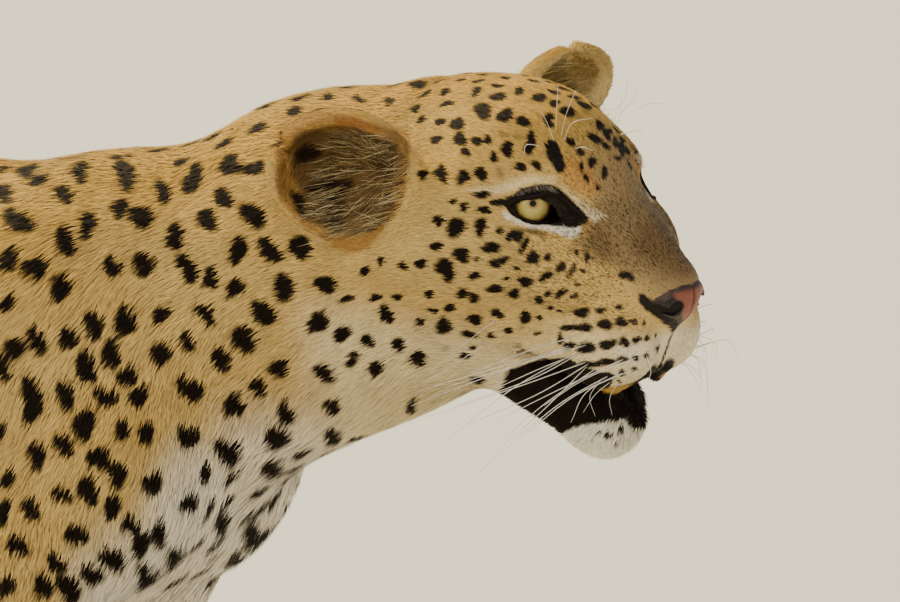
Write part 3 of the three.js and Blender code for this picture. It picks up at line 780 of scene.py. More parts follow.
def coat_lie(points, normals):
    """The way the hair lies and its length at each point of the skin."""
    pulls, _ = bone_nearness(points)
    pulls /= pulls.sum(0)
    lie = np.zeros_like(points)
    length = np.zeros(len(points))
    away = unit(points - NOSE_TIP)
    for bone, pull in zip(BONES, pulls):
        way = away if bone["lie"] is None else unit(np.array(bone["lie"], float))
        lie += pull[:, None] * way
        length += pull * bone["hair"]
    local = to_head(points)
    on_head = smooth(local[:, 0], -130, -70) * smooth(points[:, 2], 430, 480)
    face = 6.0 - 2.8 * smooth(local[:, 0], -20, 60) - 1.2 * smooth(local[:, 2], 0, 30)
    face = face + 4.0 * smooth(-local[:, 2], 92, 124)
    face = face * (0.5 + 0.5 * smooth(eye_distance(local), 16, 34))
    length += (face - length) * on_head
    away = outline_gap(NOSE_PROFILE, local[:, 1:])
    length *= 1 - on_head * smooth(local[:, 0], 60, 75) * (1 - smooth(away, 2, 14)) * 0.35
    for ear in EARS.values():
        gap = np.abs(ear_forms(ear)[0].distance(*local.T))
        on_ear = smooth(ear_rise(ear, local), 0, 12) * (1 - smooth(gap, 4, 9))
        lie = mix(lie, HEAD_TURN @ ear["along"], on_ear)
        length += (4.0 - length) * on_ear
    trunk = smooth(points[:, 2], 330, 380) * smooth(-points[:, 0], -200, -60)
    length *= 1 + 0.5 * smooth(-normals[:, 2], 0.3, 0.8) * trunk
    lie -= normals * (lie * normals).sum(1)[:, None]
    return unit(lie), length


# Markings: each is an uneven oval lying on the skin, with two arms as its half length and half width
MARK_WOBBLE = 0.14


class Marks:
    def __init__(self):
        self.rows = []

    def add(self, place, normal, arms, colour, soft=0.16, strength=1.0):
        reach = max(np.linalg.norm(arm) for arm in arms) * 1.4
        shares = np.linalg.pinv(np.array(arms).T)
        phase = rng.uniform(0, 2 * math.pi, 2)
        self.rows.append((place, normal, shares, reach, colour, soft, strength, phase))

    def apply(self, points, colours):
        order = np.argsort(points[:, 0])
        sorted_x = points[order, 0]
        for place, normal, shares, reach, colour, soft, strength, phase in self.rows:
            first, last = np.searchsorted(sorted_x, (place[0] - reach, place[0] + reach))
            part = order[first:last]
            offset = points[part] - place
            near = (offset * offset).sum(1) < reach * reach
            part, offset = part[near], offset[near]
            if not len(part):
                continue
            a, b = shares @ offset.T
            angle = np.arctan2(b, a)
            edge = 1 + MARK_WOBBLE * (np.sin(2 * angle + phase[0]) + 0.7 * np.sin(3 * angle + phase[1]))
            depth = np.abs(offset @ normal) / (0.9 * reach)
            share = np.hypot(a, b) / edge + np.maximum(depth - 0.6, 0)
            amount = strength * (1 - smooth(share, 1 - soft, 1 + soft))
            colours[part] += (colour - colours[part]) * amount[:, None]
        return colours


def lying_arms(normal, way, long, wide):
    """Two arms on the skin, along a way and across it."""
    way = unit(np.asarray(way, float) - normal * (way @ normal))
    return way * long, np.cross(normal, way) * wide


class Patch:
    """A patch of the head with an outline read from the photograph, on the near side or on both."""

    def __init__(self, outline, colour, soft, strength=1.0, twin=True, above=-1000):
        self.outline, self.colour = outline, colour
        self.soft, self.strength = soft, strength
        self.twin, self.above = twin, above
        hits = [hit[0] for hit in (pinned(*pixel) for pixel in outline) if hit is not None]
        self.centre = to_head(np.mean(hits, axis=0))
        self.reach = max(np.linalg.norm(to_head(hit) - self.centre) for hit in hits) + 10

    def apply(self, points, normals, colours):
        facing = HEAD_TURN.T @ BACK
        for side in (1, -1) if self.twin else (1,):
            local = to_head(points) * (1, side, 1)
            part = np.where(np.linalg.norm(local - self.centre, axis=1) < self.reach)[0]
            if not len(part):
                continue
            gap = outline_gap(self.outline, pixel_of(from_head(local[part])))
            turned_to = (normals[part] @ HEAD_TURN * (1, side, 1)) @ facing
            share = self.strength * (1 - smooth(gap, -self.soft, self.soft)) * smooth(turned_to, -0.12, 0.1)
            share = share * smooth(local[part, 2], self.above - 1, self.above + 1)
            if self.twin:
                share = share * (1 - smooth(local[part, 1], 0, 1))
            colours[part] = mix(colours[part], self.colour, share)
        return colours


# The face was read on an enlargement of the photograph whose corner is this pixel of its frame
FACE_CORNER = (440, 100)
FACE_SCALE = 4.125

# Each spot of the face: across, down, half length, half width and slope in degrees
FACE_SPOTS = (
    (180, 45, 35, 30, 0), (270, 65, 38, 22, -15), (345, 90, 28, 20, 0), (75, 100, 25, 25, 0),
    (85, 162, 28, 24, 0), (155, 172, 20, 20, 0), (200, 165, 20, 14, 90), (108, 215, 18, 18, 0),
    (225, 238, 20, 17, 60), (280, 205, 28, 25, 60), (380, 165, 30, 19, 80), (370, 200, 25, 20, 90),
    (335, 278, 25, 15, 0), (400, 270, 25, 14, 30), (15, 305, 34, 16, 80), (100, 320, 28, 24, 80),
    (172, 305, 28, 22, 90), (450, 75, 20, 17, 0), (455, 105, 15, 12, 0), (540, 175, 20, 14, 60),
    (580, 215, 16, 15, 0), (660, 105, 20, 16, 30), (640, 160, 26, 17, 30), (685, 190, 18, 12, 40),
    (725, 175, 20, 12, 80), (750, 200, 34, 11, 85), (628, 258, 22, 14, 80), (678, 300, 28, 10, 85),
    (583, 278, 20, 8, 85), (605, 325, 18, 10, 70), (648, 358, 14, 8, 70), (735, 240, 14, 10, 0),
    (700, 130, 14, 9, 20), (815, 230, 20, 10, 80), (175, 392, 30, 15, 5), (60, 420, 14, 12, 0),
    (103, 442, 18, 17, 0), (188, 455, 28, 13, 0), (70, 525, 38, 34, 0), (172, 525, 34, 23, 90),
    (250, 540, 16, 10, 80), (295, 560, 24, 17, -50), (325, 565, 26, 15, -55), (350, 600, 32, 14, -65),
    (385, 650, 28, 21, -70), (215, 610, 32, 22, 10), (95, 640, 32, 27, 80), (158, 655, 12, 10, 0),
    (230, 674, 26, 15, 10), (268, 662, 20, 15, -50), (320, 695, 10, 8, 0), (22, 685, 34, 30, 30),
    (42, 722, 27, 24, 0), (148, 725, 22, 16, 0), (275, 735, 14, 6, 0), (355, 750, 26, 20, -10),
    (438, 728, 27, 15, -30), (500, 690, 25, 13, -40), (545, 705, 26, 12, -60), (605, 650, 18, 13, 80),
    (445, 650, 17, 11, -45), (565, 632, 12, 9, 80), (230, 778, 28, 18, 5), (308, 797, 24, 18, 0),
    (98, 797, 24, 18, 10), (145, 815, 24, 16, 30), (445, 800, 17, 10, -30), (410, 825, 18, 15, 0),
    (500, 797, 26, 15, -30), (555, 808, 17, 10, -30), (570, 765, 12, 7, -30), (590, 705, 11, 9, 0),
    (45, 855, 24, 14, -8), (240, 880, 23, 17, 30), (150, 903, 30, 20, -5), (355, 895, 26, 20, 30),
    (412, 898, 12, 10, 0), (20, 930, 36, 26, 80), (456, 856, 14, 8, 0), (497, 870, 14, 6, 0),
    (285, 950, 16, 13, 20), (215, 970, 14, 10, 0), (125, 965, 28, 14, 10), (405, 962, 14, 8, 0),
    (140, 1018, 14, 10, 0), (108, 1052, 24, 11, -5), (165, 1150, 32, 13, 0), (757, 720, 22, 15, 0),
    (785, 730, 20, 12, 35), (585, 875, 30, 19, -15), (662, 868, 20, 13, -10), (740, 856, 14, 10, 0),
    (530, 940, 30, 12, -5), (592, 938, 34, 18, 0), (680, 926, 30, 19, -10), (748, 916, 26, 17, -5),
    (800, 914, 16, 12, 0), (842, 920, 8, 8, 0), (535, 1015, 22, 16, 0), (605, 1022, 40, 20, 5),
    (693, 1008, 31, 21, -10), (762, 998, 22, 18, 0), (812, 988, 18, 14, 0), (855, 982, 12, 10, 0),
    (890, 972, 8, 6, 0), (498, 985, 24, 12, 80), (610, 1090, 34, 12, 5), (680, 1082, 40, 14, -5),
    (755, 1070, 24, 12, -15), (808, 1064, 14, 10, 0), (852, 1054, 12, 9, 0), (900, 1025, 14, 11, 80),
    (690, 1140, 32, 14, -10), (752, 1126, 14, 12, 0), (802, 1110, 12, 10, 0), (740, 1160, 8, 8, 0),
    (695, 1375, 14, 12, 0), (745, 1355, 16, 12, 80), (728, 1410, 8, 8, 0), (660, 1365, 10, 8, 0),
)
FAINT_SPOTS = (
    (265, 145, 22, 16, 0), (320, 150, 20, 14, 0), (560, 60, 26, 16, 30), (770, 150, 20, 12, 60),
    (325, 1015, 16, 14, 0), (30, 1020, 14, 14, 0), (100, 1200, 30, 14, 0), (250, 300, 26, 16, 60),
    (60, 640, 12, 10, 0), (340, 940, 12, 10, 0),
)
BRIDGE = (
    (640, 440), (720, 400), (840, 420), (910, 520), (970, 610), (1070, 700), (1010, 740), (900, 760),
    (800, 730), (700, 690), (620, 650), (560, 610), (560, 570), (620, 530),
)
BRIDGE_DARK = (
    (820, 500), (900, 520), (960, 600), (1050, 700), (1000, 735), (900, 705), (830, 650), (770, 590),
)
TEAR_BROWN = ((590, 530), (640, 500), (710, 560), (730, 640), (660, 660), (600, 610))
EYE_BLACK = (
    (200, 420), (250, 405), (295, 395), (330, 365), (400, 350), (460, 350), (500, 370), (540, 410),
    (580, 448), (615, 492), (590, 515), (555, 528), (510, 522), (470, 520), (430, 514), (380, 508),
    (340, 490), (303, 468), (278, 444), (240, 440), (205, 434),
)
WHITE_UNDER_EYE = (
    (258, 462), (300, 465), (350, 490), (420, 505), (470, 512), (560, 518), (590, 512), (580, 548),
    (540, 572), (490, 555), (440, 535), (380, 530), (320, 510), (270, 490),
)
STREAK_UNDER_EYE = ((290, 528), (380, 528), (450, 548), (440, 568), (360, 550), (300, 552))
LIGHT_OVER_CORNER = (
    (510, 360), (560, 400), (610, 440), (690, 480), (640, 505), (600, 480), (545, 415), (505, 372),
)
LIGHT_OVER_LID = (
    (120, 372), (250, 350), (350, 318), (470, 320), (480, 345), (380, 345), (300, 372), (190, 398),
)
BROW_PATCH = (
    (430, 182), (450, 160), (480, 170), (505, 220), (520, 270), (512, 300), (490, 306), (468, 275),
    (440, 232),
)
ORANGE_BROW = ((510, 230), (560, 240), (620, 290), (660, 380), (610, 400), (545, 370), (500, 320))
# The nostrils' openings, painted black as painted shade, and the real dark skin that runs down from them to
# the lip
NOSTRIL = (
    (812, 798), (850, 805), (885, 832), (920, 828), (960, 817), (990, 830), (995, 870), (1000, 905),
    (1024, 900), (1000, 935), (982, 1000), (972, 1070), (962, 1070), (966, 990), (950, 942), (910, 912),
    (870, 882), (830, 855),
)
LIP_PATCH = ((955, 1058), (945, 1110), (920, 1145), (888, 1145), (888, 1112), (910, 1080), (936, 1062))
MOUTH_CORNER = (
    (285, 1108), (420, 1070), (530, 1060), (575, 1092), (700, 1132), (715, 1160), (700, 1185), (770, 1175),
    (835, 1165), (852, 1212), (852, 1275), (820, 1305), (720, 1318), (600, 1335), (540, 1352),
    (480, 1392), (430, 1372), (330, 1272), (258, 1200),
)
ORANGE_LIP = (
    (655, 1195), (700, 1185), (770, 1175), (835, 1165), (840, 1200), (760, 1215), (690, 1236),
    (650, 1225),
)
LIGHT_CHEEK = (
    (0, 990), (200, 1010), (400, 1010), (480, 1050), (400, 1075), (270, 1120), (200, 1240), (0, 1240),
)

# The near ear was read on an enlargement of its own
EAR_CORNER = (250, 95)
EAR_SCALE = 8.711
EAR_INSIDE = (
    (200, 400), (290, 310), (400, 215), (500, 165), (620, 145), (760, 155), (900, 190), (1040, 250),
    (1140, 285), (1290, 315), (1400, 340), (1380, 600), (1340, 860), (1240, 1060), (1130, 1220),
    (1040, 1330), (960, 1370), (850, 1370), (700, 1310), (620, 1240), (580, 1170), (530, 1120),
    (420, 1090), (380, 960), (330, 810), (270, 730), (230, 600), (215, 490), (330, 440),
)
EAR_CUP = (
    (400, 340), (520, 300), (700, 290), (900, 310), (1060, 340), (1200, 400), (1300, 520), (1290, 760),
    (1240, 960), (1120, 1140), (960, 1150), (820, 1180), (700, 1200), (560, 1080), (480, 960), (440, 830),
    (360, 700), (340, 520),
)
EAR_ORANGE = (
    (740, 185), (900, 195), (1040, 250), (1150, 290), (1130, 340), (1000, 310), (860, 300), (740, 280),
)
# The hollows of the near ear's cup, darkened as painted shade
EAR_HOLLOW_SHADES = (
    ((375, 600), (385, 470), (480, 400), (560, 420), (650, 490), (560, 560), (470, 590)),
    (
        (470, 800), (560, 760), (700, 728), (900, 738), (890, 800), (810, 890), (830, 970), (740, 1000),
        (620, 960), (600, 880), (500, 850),
    ),
    ((700, 950), (830, 980), (800, 1080), (785, 1180), (740, 1195), (708, 1080)),
    (
        (335, 820), (430, 858), (475, 862), (490, 950), (502, 1062), (470, 1082), (420, 1040), (375, 950),
        (345, 870),
    ),
)
EAR_HAIR_DARK = ((1050, 400), (1200, 380), (1300, 460), (1260, 640), (1180, 760), (1090, 640), (1060, 520))
EAR_LIGHT = ((820, 1150), (900, 1080), (1050, 1100), (1120, 1180), (1040, 1310), (900, 1360), (820, 1290))

# The spots of the neck and the crown, as pixels of the frame
NECK_SPOTS = (
    (30, 171), (82, 172), (126, 174), (66, 195), (7, 194), (20, 221), (121, 209), (143, 217), (89, 225),
    (67, 242), (164, 192), (195, 178), (176, 237), (232, 165), (225, 198), (209, 220), (254, 215),
    (240, 250), (271, 250), (145, 264), (113, 267), (189, 268), (301, 247), (212, 278), (237, 287),
    (37, 268), (11, 260), (62, 287), (286, 287), (95, 324), (126, 321), (70, 337), (17, 347), (39, 340),
    (112, 353), (162, 353), (189, 340), (207, 314), (222, 358), (245, 338), (265, 312), (128, 376),
    (87, 367), (4, 367), (33, 390), (67, 394), (106, 396), (139, 396), (191, 388), (235, 403), (281, 367),
    (327, 371), (287, 410), (334, 404), (278, 434), (334, 434), (275, 465), (188, 436), (228, 450),
    (123, 429), (146, 432), (85, 424), (65, 444), (34, 411), (39, 455), (100, 457), (152, 482),
    (118, 473), (63, 493), (89, 489), (113, 505), (189, 502), (220, 518), (250, 528), (32, 508),
    (19, 545), (77, 533), (131, 523), (159, 532), (141, 541), (113, 556), (93, 572), (57, 561), (44, 585),
    (69, 587), (175, 556), (151, 576), (399, 344), (387, 314), (369, 340), (354, 358), (343, 333),
    (319, 321), (419, 358), (413, 404), (377, 367),
)
CROWN_SPOTS = (
    (459, 125), (460, 140), (441, 174), (424, 175), (437, 140), (477, 92), (499, 97), (446, 92), (419, 85),
    (417, 109), (391, 102), (360, 100), (330, 98), (296, 112), (520, 92), (540, 98), (555, 104), (568, 112),
)


def arms_at(normal, long, wide, slope):
    """Two arms on the skin that look this long, this wide and this sloped from the camera, in pixels."""
    slope = math.radians(slope)
    along = RIGHT * math.cos(slope) - UP * math.sin(slope)
    across = RIGHT * math.sin(slope) + UP * math.cos(slope)
    square = max(normal @ BACK, 0.35)
    sizes = ((along, long), (across, wide))
    return [MM_PER_PX * size * (way - BACK * (way @ normal) / square) for way, size in sizes]


# The hair over a spot hides its edge, so each is made this much larger than it was read
SPREAD = 1.16


def build_marks():
    """The photograph's spots, their matches on the other side, and the scattered ones."""
    marks = Marks()

    def seen(pixel, long, wide, slope, **settings):
        """A spot seen in the photograph, and its match on the other side."""
        hit = pinned(*pixel)
        if hit is None:
            return
        place, normal = hit
        arms = arms_at(normal, long, wide, slope)
        marks.add(place, normal, arms, BLACK, **settings)
        ahead, aside, _ = to_head(place)
        if place[2] > 440 and (aside > -5 or ahead > 74):
            return
        other, other_normal = nearest(mirrored(place) + rng.normal(0, 1.2, 3))
        turned_arms = [mirrored(place + arm) - mirrored(place) for arm in arms]
        marks.add(other, other_normal, turned_arms, BLACK, **settings)

    for across, down, long, wide, slope in FACE_SPOTS:
        pixel = enlarged(FACE_CORNER, FACE_SCALE, (across, down))
        seen(pixel, SPREAD * long / FACE_SCALE, SPREAD * wide / FACE_SCALE, slope, soft=0.22)
    for across, down, long, wide, slope in FAINT_SPOTS:
        pixel = enlarged(FACE_CORNER, FACE_SCALE, (across, down))
        seen(pixel, long / FACE_SCALE, wide / FACE_SCALE, slope, soft=0.5, strength=0.4)
    for pixel in CROWN_SPOTS:
        size = rng.uniform(4.6, 7.0)
        seen(pixel, size * 1.15, size * 0.8, rng.uniform(-30, 30))
    for pixel in NECK_SPOTS:
        size = rng.uniform(10.0, 14.5) * (1 - 0.36 * smooth(pixel[0], 290, 370))
        seen(pixel, size * rng.uniform(0.95, 1.25), size * 0.85, rng.uniform(30, 110))
    scatter(marks)
    return marks


SCATTER_TRIES = 26000
SCATTER_ROOM = 6000


def scatter(marks):
    """Spots and rosettes where the photograph shows none, no two too close."""
    black = [row[0] for row in marks.rows]
    taken = np.zeros((SCATTER_ROOM, 3))
    taken[:len(black)] = black
    count = len(black)
    for index in rng.permutation(len(skin_points))[:SCATTER_TRIES]:
        place, normal = skin_points[index], skin_normals[index]
        local = to_head(place)
        kind = region(place, local, normal)
        if kind is None:
            continue
        spacing, size, rosette = kind
        offsets = taken[:count] - place
        if (offsets * offsets).sum(1).min() < spacing * spacing:
            continue
        taken[count] = place
        count += 1
        way = coat_lie(place[None], normal[None])[0][0]
        if rosette:
            add_rosette(marks, place, normal, way, size)
        else:
            long = size * rng.uniform(0.9, 1.3)
            marks.add(place, normal, lying_arms(normal, way, long, size * rng.uniform(0.75, 0.95)), BLACK)


def region(place, local, normal):
    """Spacing and half size of the markings at a place on the skin, and whether they are rosettes."""
    x, _, z = place
    for ear in EARS.values():
        if np.linalg.norm(local - np.array(ear["base"])) < ear["wide"] * 1.1:
            return None
        if ear_rise(ear, local) > 2 and ear_forms(ear)[0].distance(*local) < 8:
            return None
    if local[0] > -100 and z > 450:
        if local[0] > 15 or (abs(local[1]) < 12 and local[0] > 0) or local[2] < -92:
            return None
        return None if eye_distance(local) < 30 else (12.5, 3.6, False)
    if x < -780 and z < 590:
        return (30, 9, False)
    if z < 70:
        return (13, 3.2, False)
    if z < 200:
        return (19, 4.6, False)
    if z < 390:
        return (28, 8, False)
    if x > -90:
        return (20.5, 6.6, False)
    if normal[2] < -0.55:
        return (42, 12, False)
    return (43, 16.5, True)


def add_rosette(marks, place, normal, way, size):
    """A ring of a few blotches round a darker tawny middle."""
    side = np.cross(normal, way)
    middle = lying_arms(normal, way, size * 0.95, size * 0.85)
    marks.add(place, normal, middle, OCHRE, soft=0.35, strength=0.75)
    count = int(rng.integers(3, 6))
    turn = rng.uniform(0, 2 * math.pi)
    for i in range(count):
        angle = turn + (i + rng.uniform(-0.18, 0.18)) * 2 * math.pi / count
        ring = size * rng.uniform(0.85, 1.0)
        spot = place + way * math.cos(angle) * ring * 1.1 + side * math.sin(angle) * ring
        spot, spot_normal = nearest(spot)
        tangent = side * math.cos(angle) - way * math.sin(angle)
        width = size * rng.uniform(0.26, 0.38)
        arms = lying_arms(spot_normal, tangent, width * rng.uniform(1.3, 2.1), width)
        marks.add(spot, spot_normal, arms, BLACK)


def ground_colour(points, normals):
    """The coat's colour under the markings."""
    local = to_head(points)
    x, y, z = points.T
    wave = 0.5 + 0.5 * np.sin(x * 0.031 + 1.3 * np.sin(z * 0.043)) * np.sin(y * 0.05 + z * 0.027)
    colours = mix(BUFF, OCHRE, np.clip(0.25 + 0.5 * smooth(normals[:, 2], -0.1, 0.9) + 0.2 * wave, 0, 1))
    belly = smooth(-normals[:, 2], 0.15, 0.75) * (1 - smooth(x, 120, 200)) * (1 - smooth(z, 470, 530))
    inner_leg = smooth(-normals[:, 1] * np.sign(y), 0.2, 0.8) * (1 - smooth(z, 380, 470))
    colours = mix(colours, CREAM, inner_leg * 0.8)
    colours = mix(colours, WHITE, np.maximum(belly, 0.5 * inner_leg) * 0.9)
    chest = smooth(normals[:, 0] - 0.4 * np.abs(normals[:, 1]) - 0.3 * normals[:, 2], 0.25, 0.8)
    chest = chest * (1 - smooth(local[:, 0], -110, -70))
    colours = mix(colours, CREAM, chest * smooth(z, 380, 430) * 0.8)
    colours = mix(colours, WHITE, chest * smooth(z, 330, 380) * (1 - smooth(z, 440, 520)) * 0.9)
    on_head = smooth(local[:, 0], -130, -95) * smooth(z, 440, 480)
    throat = smooth(-local[:, 2], 62, 104) * on_head
    bridge = smooth(local[:, 0], 0, 40) * (1 - smooth(np.abs(local[:, 1]), 16, 34))
    colours = mix(colours, GREY_BROWN, bridge * smooth(local[:, 2], -58, -30) * on_head * 0.85)
    muzzle = smooth(local[:, 0], 24, 56) * smooth(-local[:, 2], 50, 76)
    colours = mix(colours, CREAM, muzzle * on_head * 0.8)
    front = smooth(local[:, 0], 66, 86) * smooth(-local[:, 2], 56, 72)
    colours = mix(colours, WHITE, front * on_head * 0.6)
    chin = smooth(-local[:, 2], 104, 116) * smooth(local[:, 0], -30, 20) * on_head
    colours = mix(colours, CREAM, throat * 0.85)
    colours = mix(colours, WHITE, chin)
    for ear in EARS.values():
        back, front, inside = ear_shares(ear, local, normals)
        colours = mix(colours, BLACK, back)
        colours = mix(colours, mix(EAR_RIM, BUFF, ear["pale"]), front)
        # the cup's middle darkened: painted shade, less of it on the paler ear
        colours = mix(colours, EAR_DARK, inside * (1 - 0.8 * ear["pale"]))
    return colours


def ear_shares(ear, local, normals):
    """How far each point lies on the back of an ear, in its cup and in the cup's middle, which is darkened as
    painted shade.
    """
    shell, cup, _ = ear_forms(ear)
    long, wide, deep = ear["long"], ear["wide"], ear["deep"]
    up = ear_rise(ear, local)
    on_ear = (1 - smooth(np.abs(shell.distance(*local.T)), 3, 6)) * smooth(up, 6, 20)
    in_cup = 1 - smooth(np.abs(cup.distance(*local.T)), 2, 4)
    facing = normals @ (HEAD_TURN @ ear["face"])
    back = on_ear * (1 - smooth(facing, -0.55, -0.25)) * (1 - smooth(up, long * 0.72, long * 0.86))
    middle = np.linalg.norm(local - ear_spot(ear, deep * -0.2, -8, long * 0.28), axis=1)
    inside = in_cup * (1 - smooth(middle, wide * 0.3, wide * 0.62))
    return back, in_cup, inside


LIP_STEPS = [np.linspace(a, b, 12) for line in LIP_LINES for a, b in zip(line, line[1:])]
LIP_PLACES = from_head(np.concatenate(LIP_STEPS))[::2]


def lip_share(points):
    """1 on the bare black lips, 0 away from them."""
    share = np.zeros(len(points))
    near = np.where(np.linalg.norm(points - from_head((40, 0, -90)), axis=1) < 110)[0]
    if len(near):
        gaps = np.min([np.linalg.norm(points[near] - place, axis=1) for place in LIP_PLACES], axis=0)
        share[near] = 1 - smooth(gaps, 5.0, 7.5)
    return share


TAIL_BANDS = 19


def tail_rings(points, colours):
    """Dark bars across the top of the tail, and rings near its tip."""
    line = np.array(TAIL_LINE)
    part = np.where((points[:, 0] < -800) & (points[:, 2] < 600))[0]
    offsets = np.linalg.norm(points[part][:, None] - line[None], axis=2)
    reach = np.array(offsets.argmin(1), float) / TAIL["links"]
    tip = smooth(reach, 0.86, 0.95)
    bands = smooth(np.sin(reach * TAIL_BANDS * 2 * math.pi + np.sin(points[part, 1] * 0.2)), 0.35, 0.6)
    colours[part] = mix(colours[part], BLACK, bands * smooth(reach, 0.6, 0.66))
    colours[part] = mix(colours[part], BLACK, tip)
    return colours


def face_patch(outline, colour, **settings):
    return Patch(enlarged(FACE_CORNER, FACE_SCALE, outline), colour, **settings)


def ear_patch(outline, colour, **settings):
    return Patch(enlarged(EAR_CORNER, EAR_SCALE, outline), colour, twin=False, **settings)


UNDER_SPOTS = [
    ear_patch(EAR_INSIDE, EAR_RIM, soft=2.0),
    ear_patch(EAR_CUP, EAR_BROWN, soft=4, strength=0.85),
    ear_patch(EAR_ORANGE, EAR_ORANGE_BROWN, soft=3.5, strength=0.55),
    ear_patch(EAR_HAIR_DARK, EAR_DARK, soft=4, strength=0.6),
    ear_patch(EAR_LIGHT, EAR_RIM, soft=4, strength=0.7),
    # the near ear's hollows darkened: painted shade
    *[ear_patch(outline, EAR_DARK, soft=3.5) for outline in EAR_HOLLOW_SHADES],
    face_patch(BRIDGE, GREY_BROWN, soft=10, strength=0.8),
    face_patch(BRIDGE_DARK, DARK_BROWN, soft=11, strength=0.7),
    face_patch(TEAR_BROWN, DARK_BROWN, soft=9, strength=0.45),
    face_patch(LIGHT_CHEEK, CREAM, soft=9, strength=0.7),
    face_patch(ORANGE_BROW, ORANGE, soft=6, strength=0.5),
    face_patch(LIGHT_OVER_LID, CREAM, soft=3, strength=0.55),
    face_patch(LIGHT_OVER_CORNER, CREAM, soft=2, strength=0.7),
    face_patch(WHITE_UNDER_EYE, WHITE, soft=1.6, strength=0.7),
    face_patch(STREAK_UNDER_EYE, EAR_DARK, soft=2, strength=0.7),
]
OVER_SPOTS = [
    face_patch(EYE_BLACK, BLACK, soft=0.9),
    face_patch(BROW_PATCH, BLACK, soft=0.9),
    # black over the nostrils' openings as painted shade, and over the real dark skin below them
    face_patch(NOSTRIL, BLACK, soft=0.6),
    face_patch(LIP_PATCH, BLACK, soft=0.8),
    face_patch(MOUTH_CORNER, BLACK, soft=1.0),
    face_patch(ORANGE_LIP, BLACK, soft=2.5),
    face_patch(ORANGE_LIP, OCHRE, soft=2.0, strength=0.85, above=-104),
]


def coat_colours(points, normals, marks):
    colours = ground_colour(points, normals)
    for patch in UNDER_SPOTS:
        colours = patch.apply(points, normals, colours)
    colours = mix(colours, BLACK, lip_share(points))
    colours = marks.apply(points, colours)
    for patch in OVER_SPOTS:
        colours = patch.apply(points, normals, colours)
    local = to_head(points)
    groove = (1 - smooth(np.abs(local[:, 1]), 0.7, 1.6)) * smooth(local[:, 0], 64, 70)
    groove = groove * smooth(-local[:, 2], 52, 56) * smooth(points[:, 2], 480, 500)
    colours = mix(colours, BLACK, groove * (local[:, 2] > -100))
    # the skin under the nose leather, seen through the nostrils, painted black: painted shade deep in them
    nostril_shade = (1 - smooth(nose_outline(local[:, 1], local[:, 2]), -2, 0)) * smooth(local[:, 0], 72, 78)
    colours = mix(colours, BLACK, nostril_shade)
    return tail_rings(points, colours)


# Skin
marks = build_marks()
skin = mesh_piece("skin", skin_points, skin_faces, SKIN)
paint(skin, coat_colours(skin_points, skin_normals, marks))
FLESH = [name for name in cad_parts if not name.startswith(("eye_", "nose"))]
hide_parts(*FLESH)


# Coat, in tufts of five points each
TUFT_POINTS = 5
TUFT_FACES = np.array([(0, 3, 1), (0, 2, 3), (2, 4, 3)])
TUFTS_A_PIECE = 64000


def head_share(points):
    """1 on the head and the ears, 0 behind them."""
    local = to_head(points)
    share = smooth(local[:, 0], -140, -90)
    for ear in EARS.values():
        gap = np.abs(ear_forms(ear)[0].distance(*local.T))
        share = np.maximum(share, smooth(ear_rise(ear, local), 0, 10) * (1 - smooth(gap, 6, 12)))
    return share * smooth(points[:, 2], 430, 480)


def front_share(points):
    """1 on the neck and the shoulders, 0 behind and below them."""
    return smooth(points[:, 0], -170, -90) * smooth(points[:, 2], 330, 400)


# Tufts for each square millimetre, and their widths in millimetres
BODY_DENSITY, FRONT_DENSITY, HEAD_DENSITY = 0.125, 0.6, 1.42
PAW_DENSITY = 0.15
BODY_TUFT, FRONT_TUFT, HEAD_TUFT = 2.4, 1.1, 0.8


def coat_density(points):
    """Tufts for each square millimetre: most on the head, where the camera is, fewer behind the shoulders."""
    front = front_share(points)
    density = BODY_DENSITY + (FRONT_DENSITY - BODY_DENSITY) * front
    paws = 1 - smooth(points[:, 2], 60, 130)
    density = density + PAW_DENSITY * paws * (1 - front)
    return density + (HEAD_DENSITY - density) * head_share(points)


def bare(points):
    """Whether no hair grows at points: the soles, the eyes' openings and under the nose leather."""
    local = to_head(points)
    bald = (points[:, 2] < 1.5) | (eye_distance(local) < EYE_RADIUS + 1.5)
    return bald | (nose_outline(local[:, 1], local[:, 2]) < 0) & (local[:, 0] > 76)


def plant_roots():
    """Points over the skin at the coat's density, with their smoothed normals."""
    triangles = np.concatenate([skin_faces[:, [0, 1, 2]], skin_faces[:, [0, 2, 3]]])
    order = np.argsort(np.tile(np.arange(len(skin_faces)), 2), kind="stable")
    triangles = triangles[order]
    a, b, c = (skin_points[triangles[:, i]] for i in range(3))
    area = np.linalg.norm(np.cross(b - a, c - a), axis=1) / 2
    wanted = np.cumsum(area * coat_density((a + b + c) / 3))
    count = int(wanted[-1])
    chosen = np.searchsorted(wanted, np.arange(count) + rng.random(count))
    chosen = triangles[np.minimum(chosen, len(triangles) - 1)]
    share = rng.random((count, 2))
    over = share.sum(1) > 1
    share[over] = 1 - share[over]
    weights = np.column_stack([1 - share.sum(1), share])
    roots = np.einsum("ij,ijk->ik", weights, skin_points[chosen])
    normals = unit(np.einsum("ij,ijk->ik", weights, skin_normals[chosen]))
    keep = ~bare(roots)
    return roots[keep], normals[keep]


def wander(points, size, seed):
    """A smooth wandering value between -1 and 1, for the hair's small swirls."""
    phase = np.random.default_rng(seed).uniform(0, 2 * math.pi, (4, 4))
    value = 0
    for turn, rise, scale, start in phase:
        level = math.cos(rise)
        way = np.array([math.cos(turn) * level, math.sin(turn) * level, math.sin(rise)])
        value = value + np.sin(points @ way * 2 * math.pi / (size * (0.7 + 0.3 * scale)) + start)
    return value / 2.4


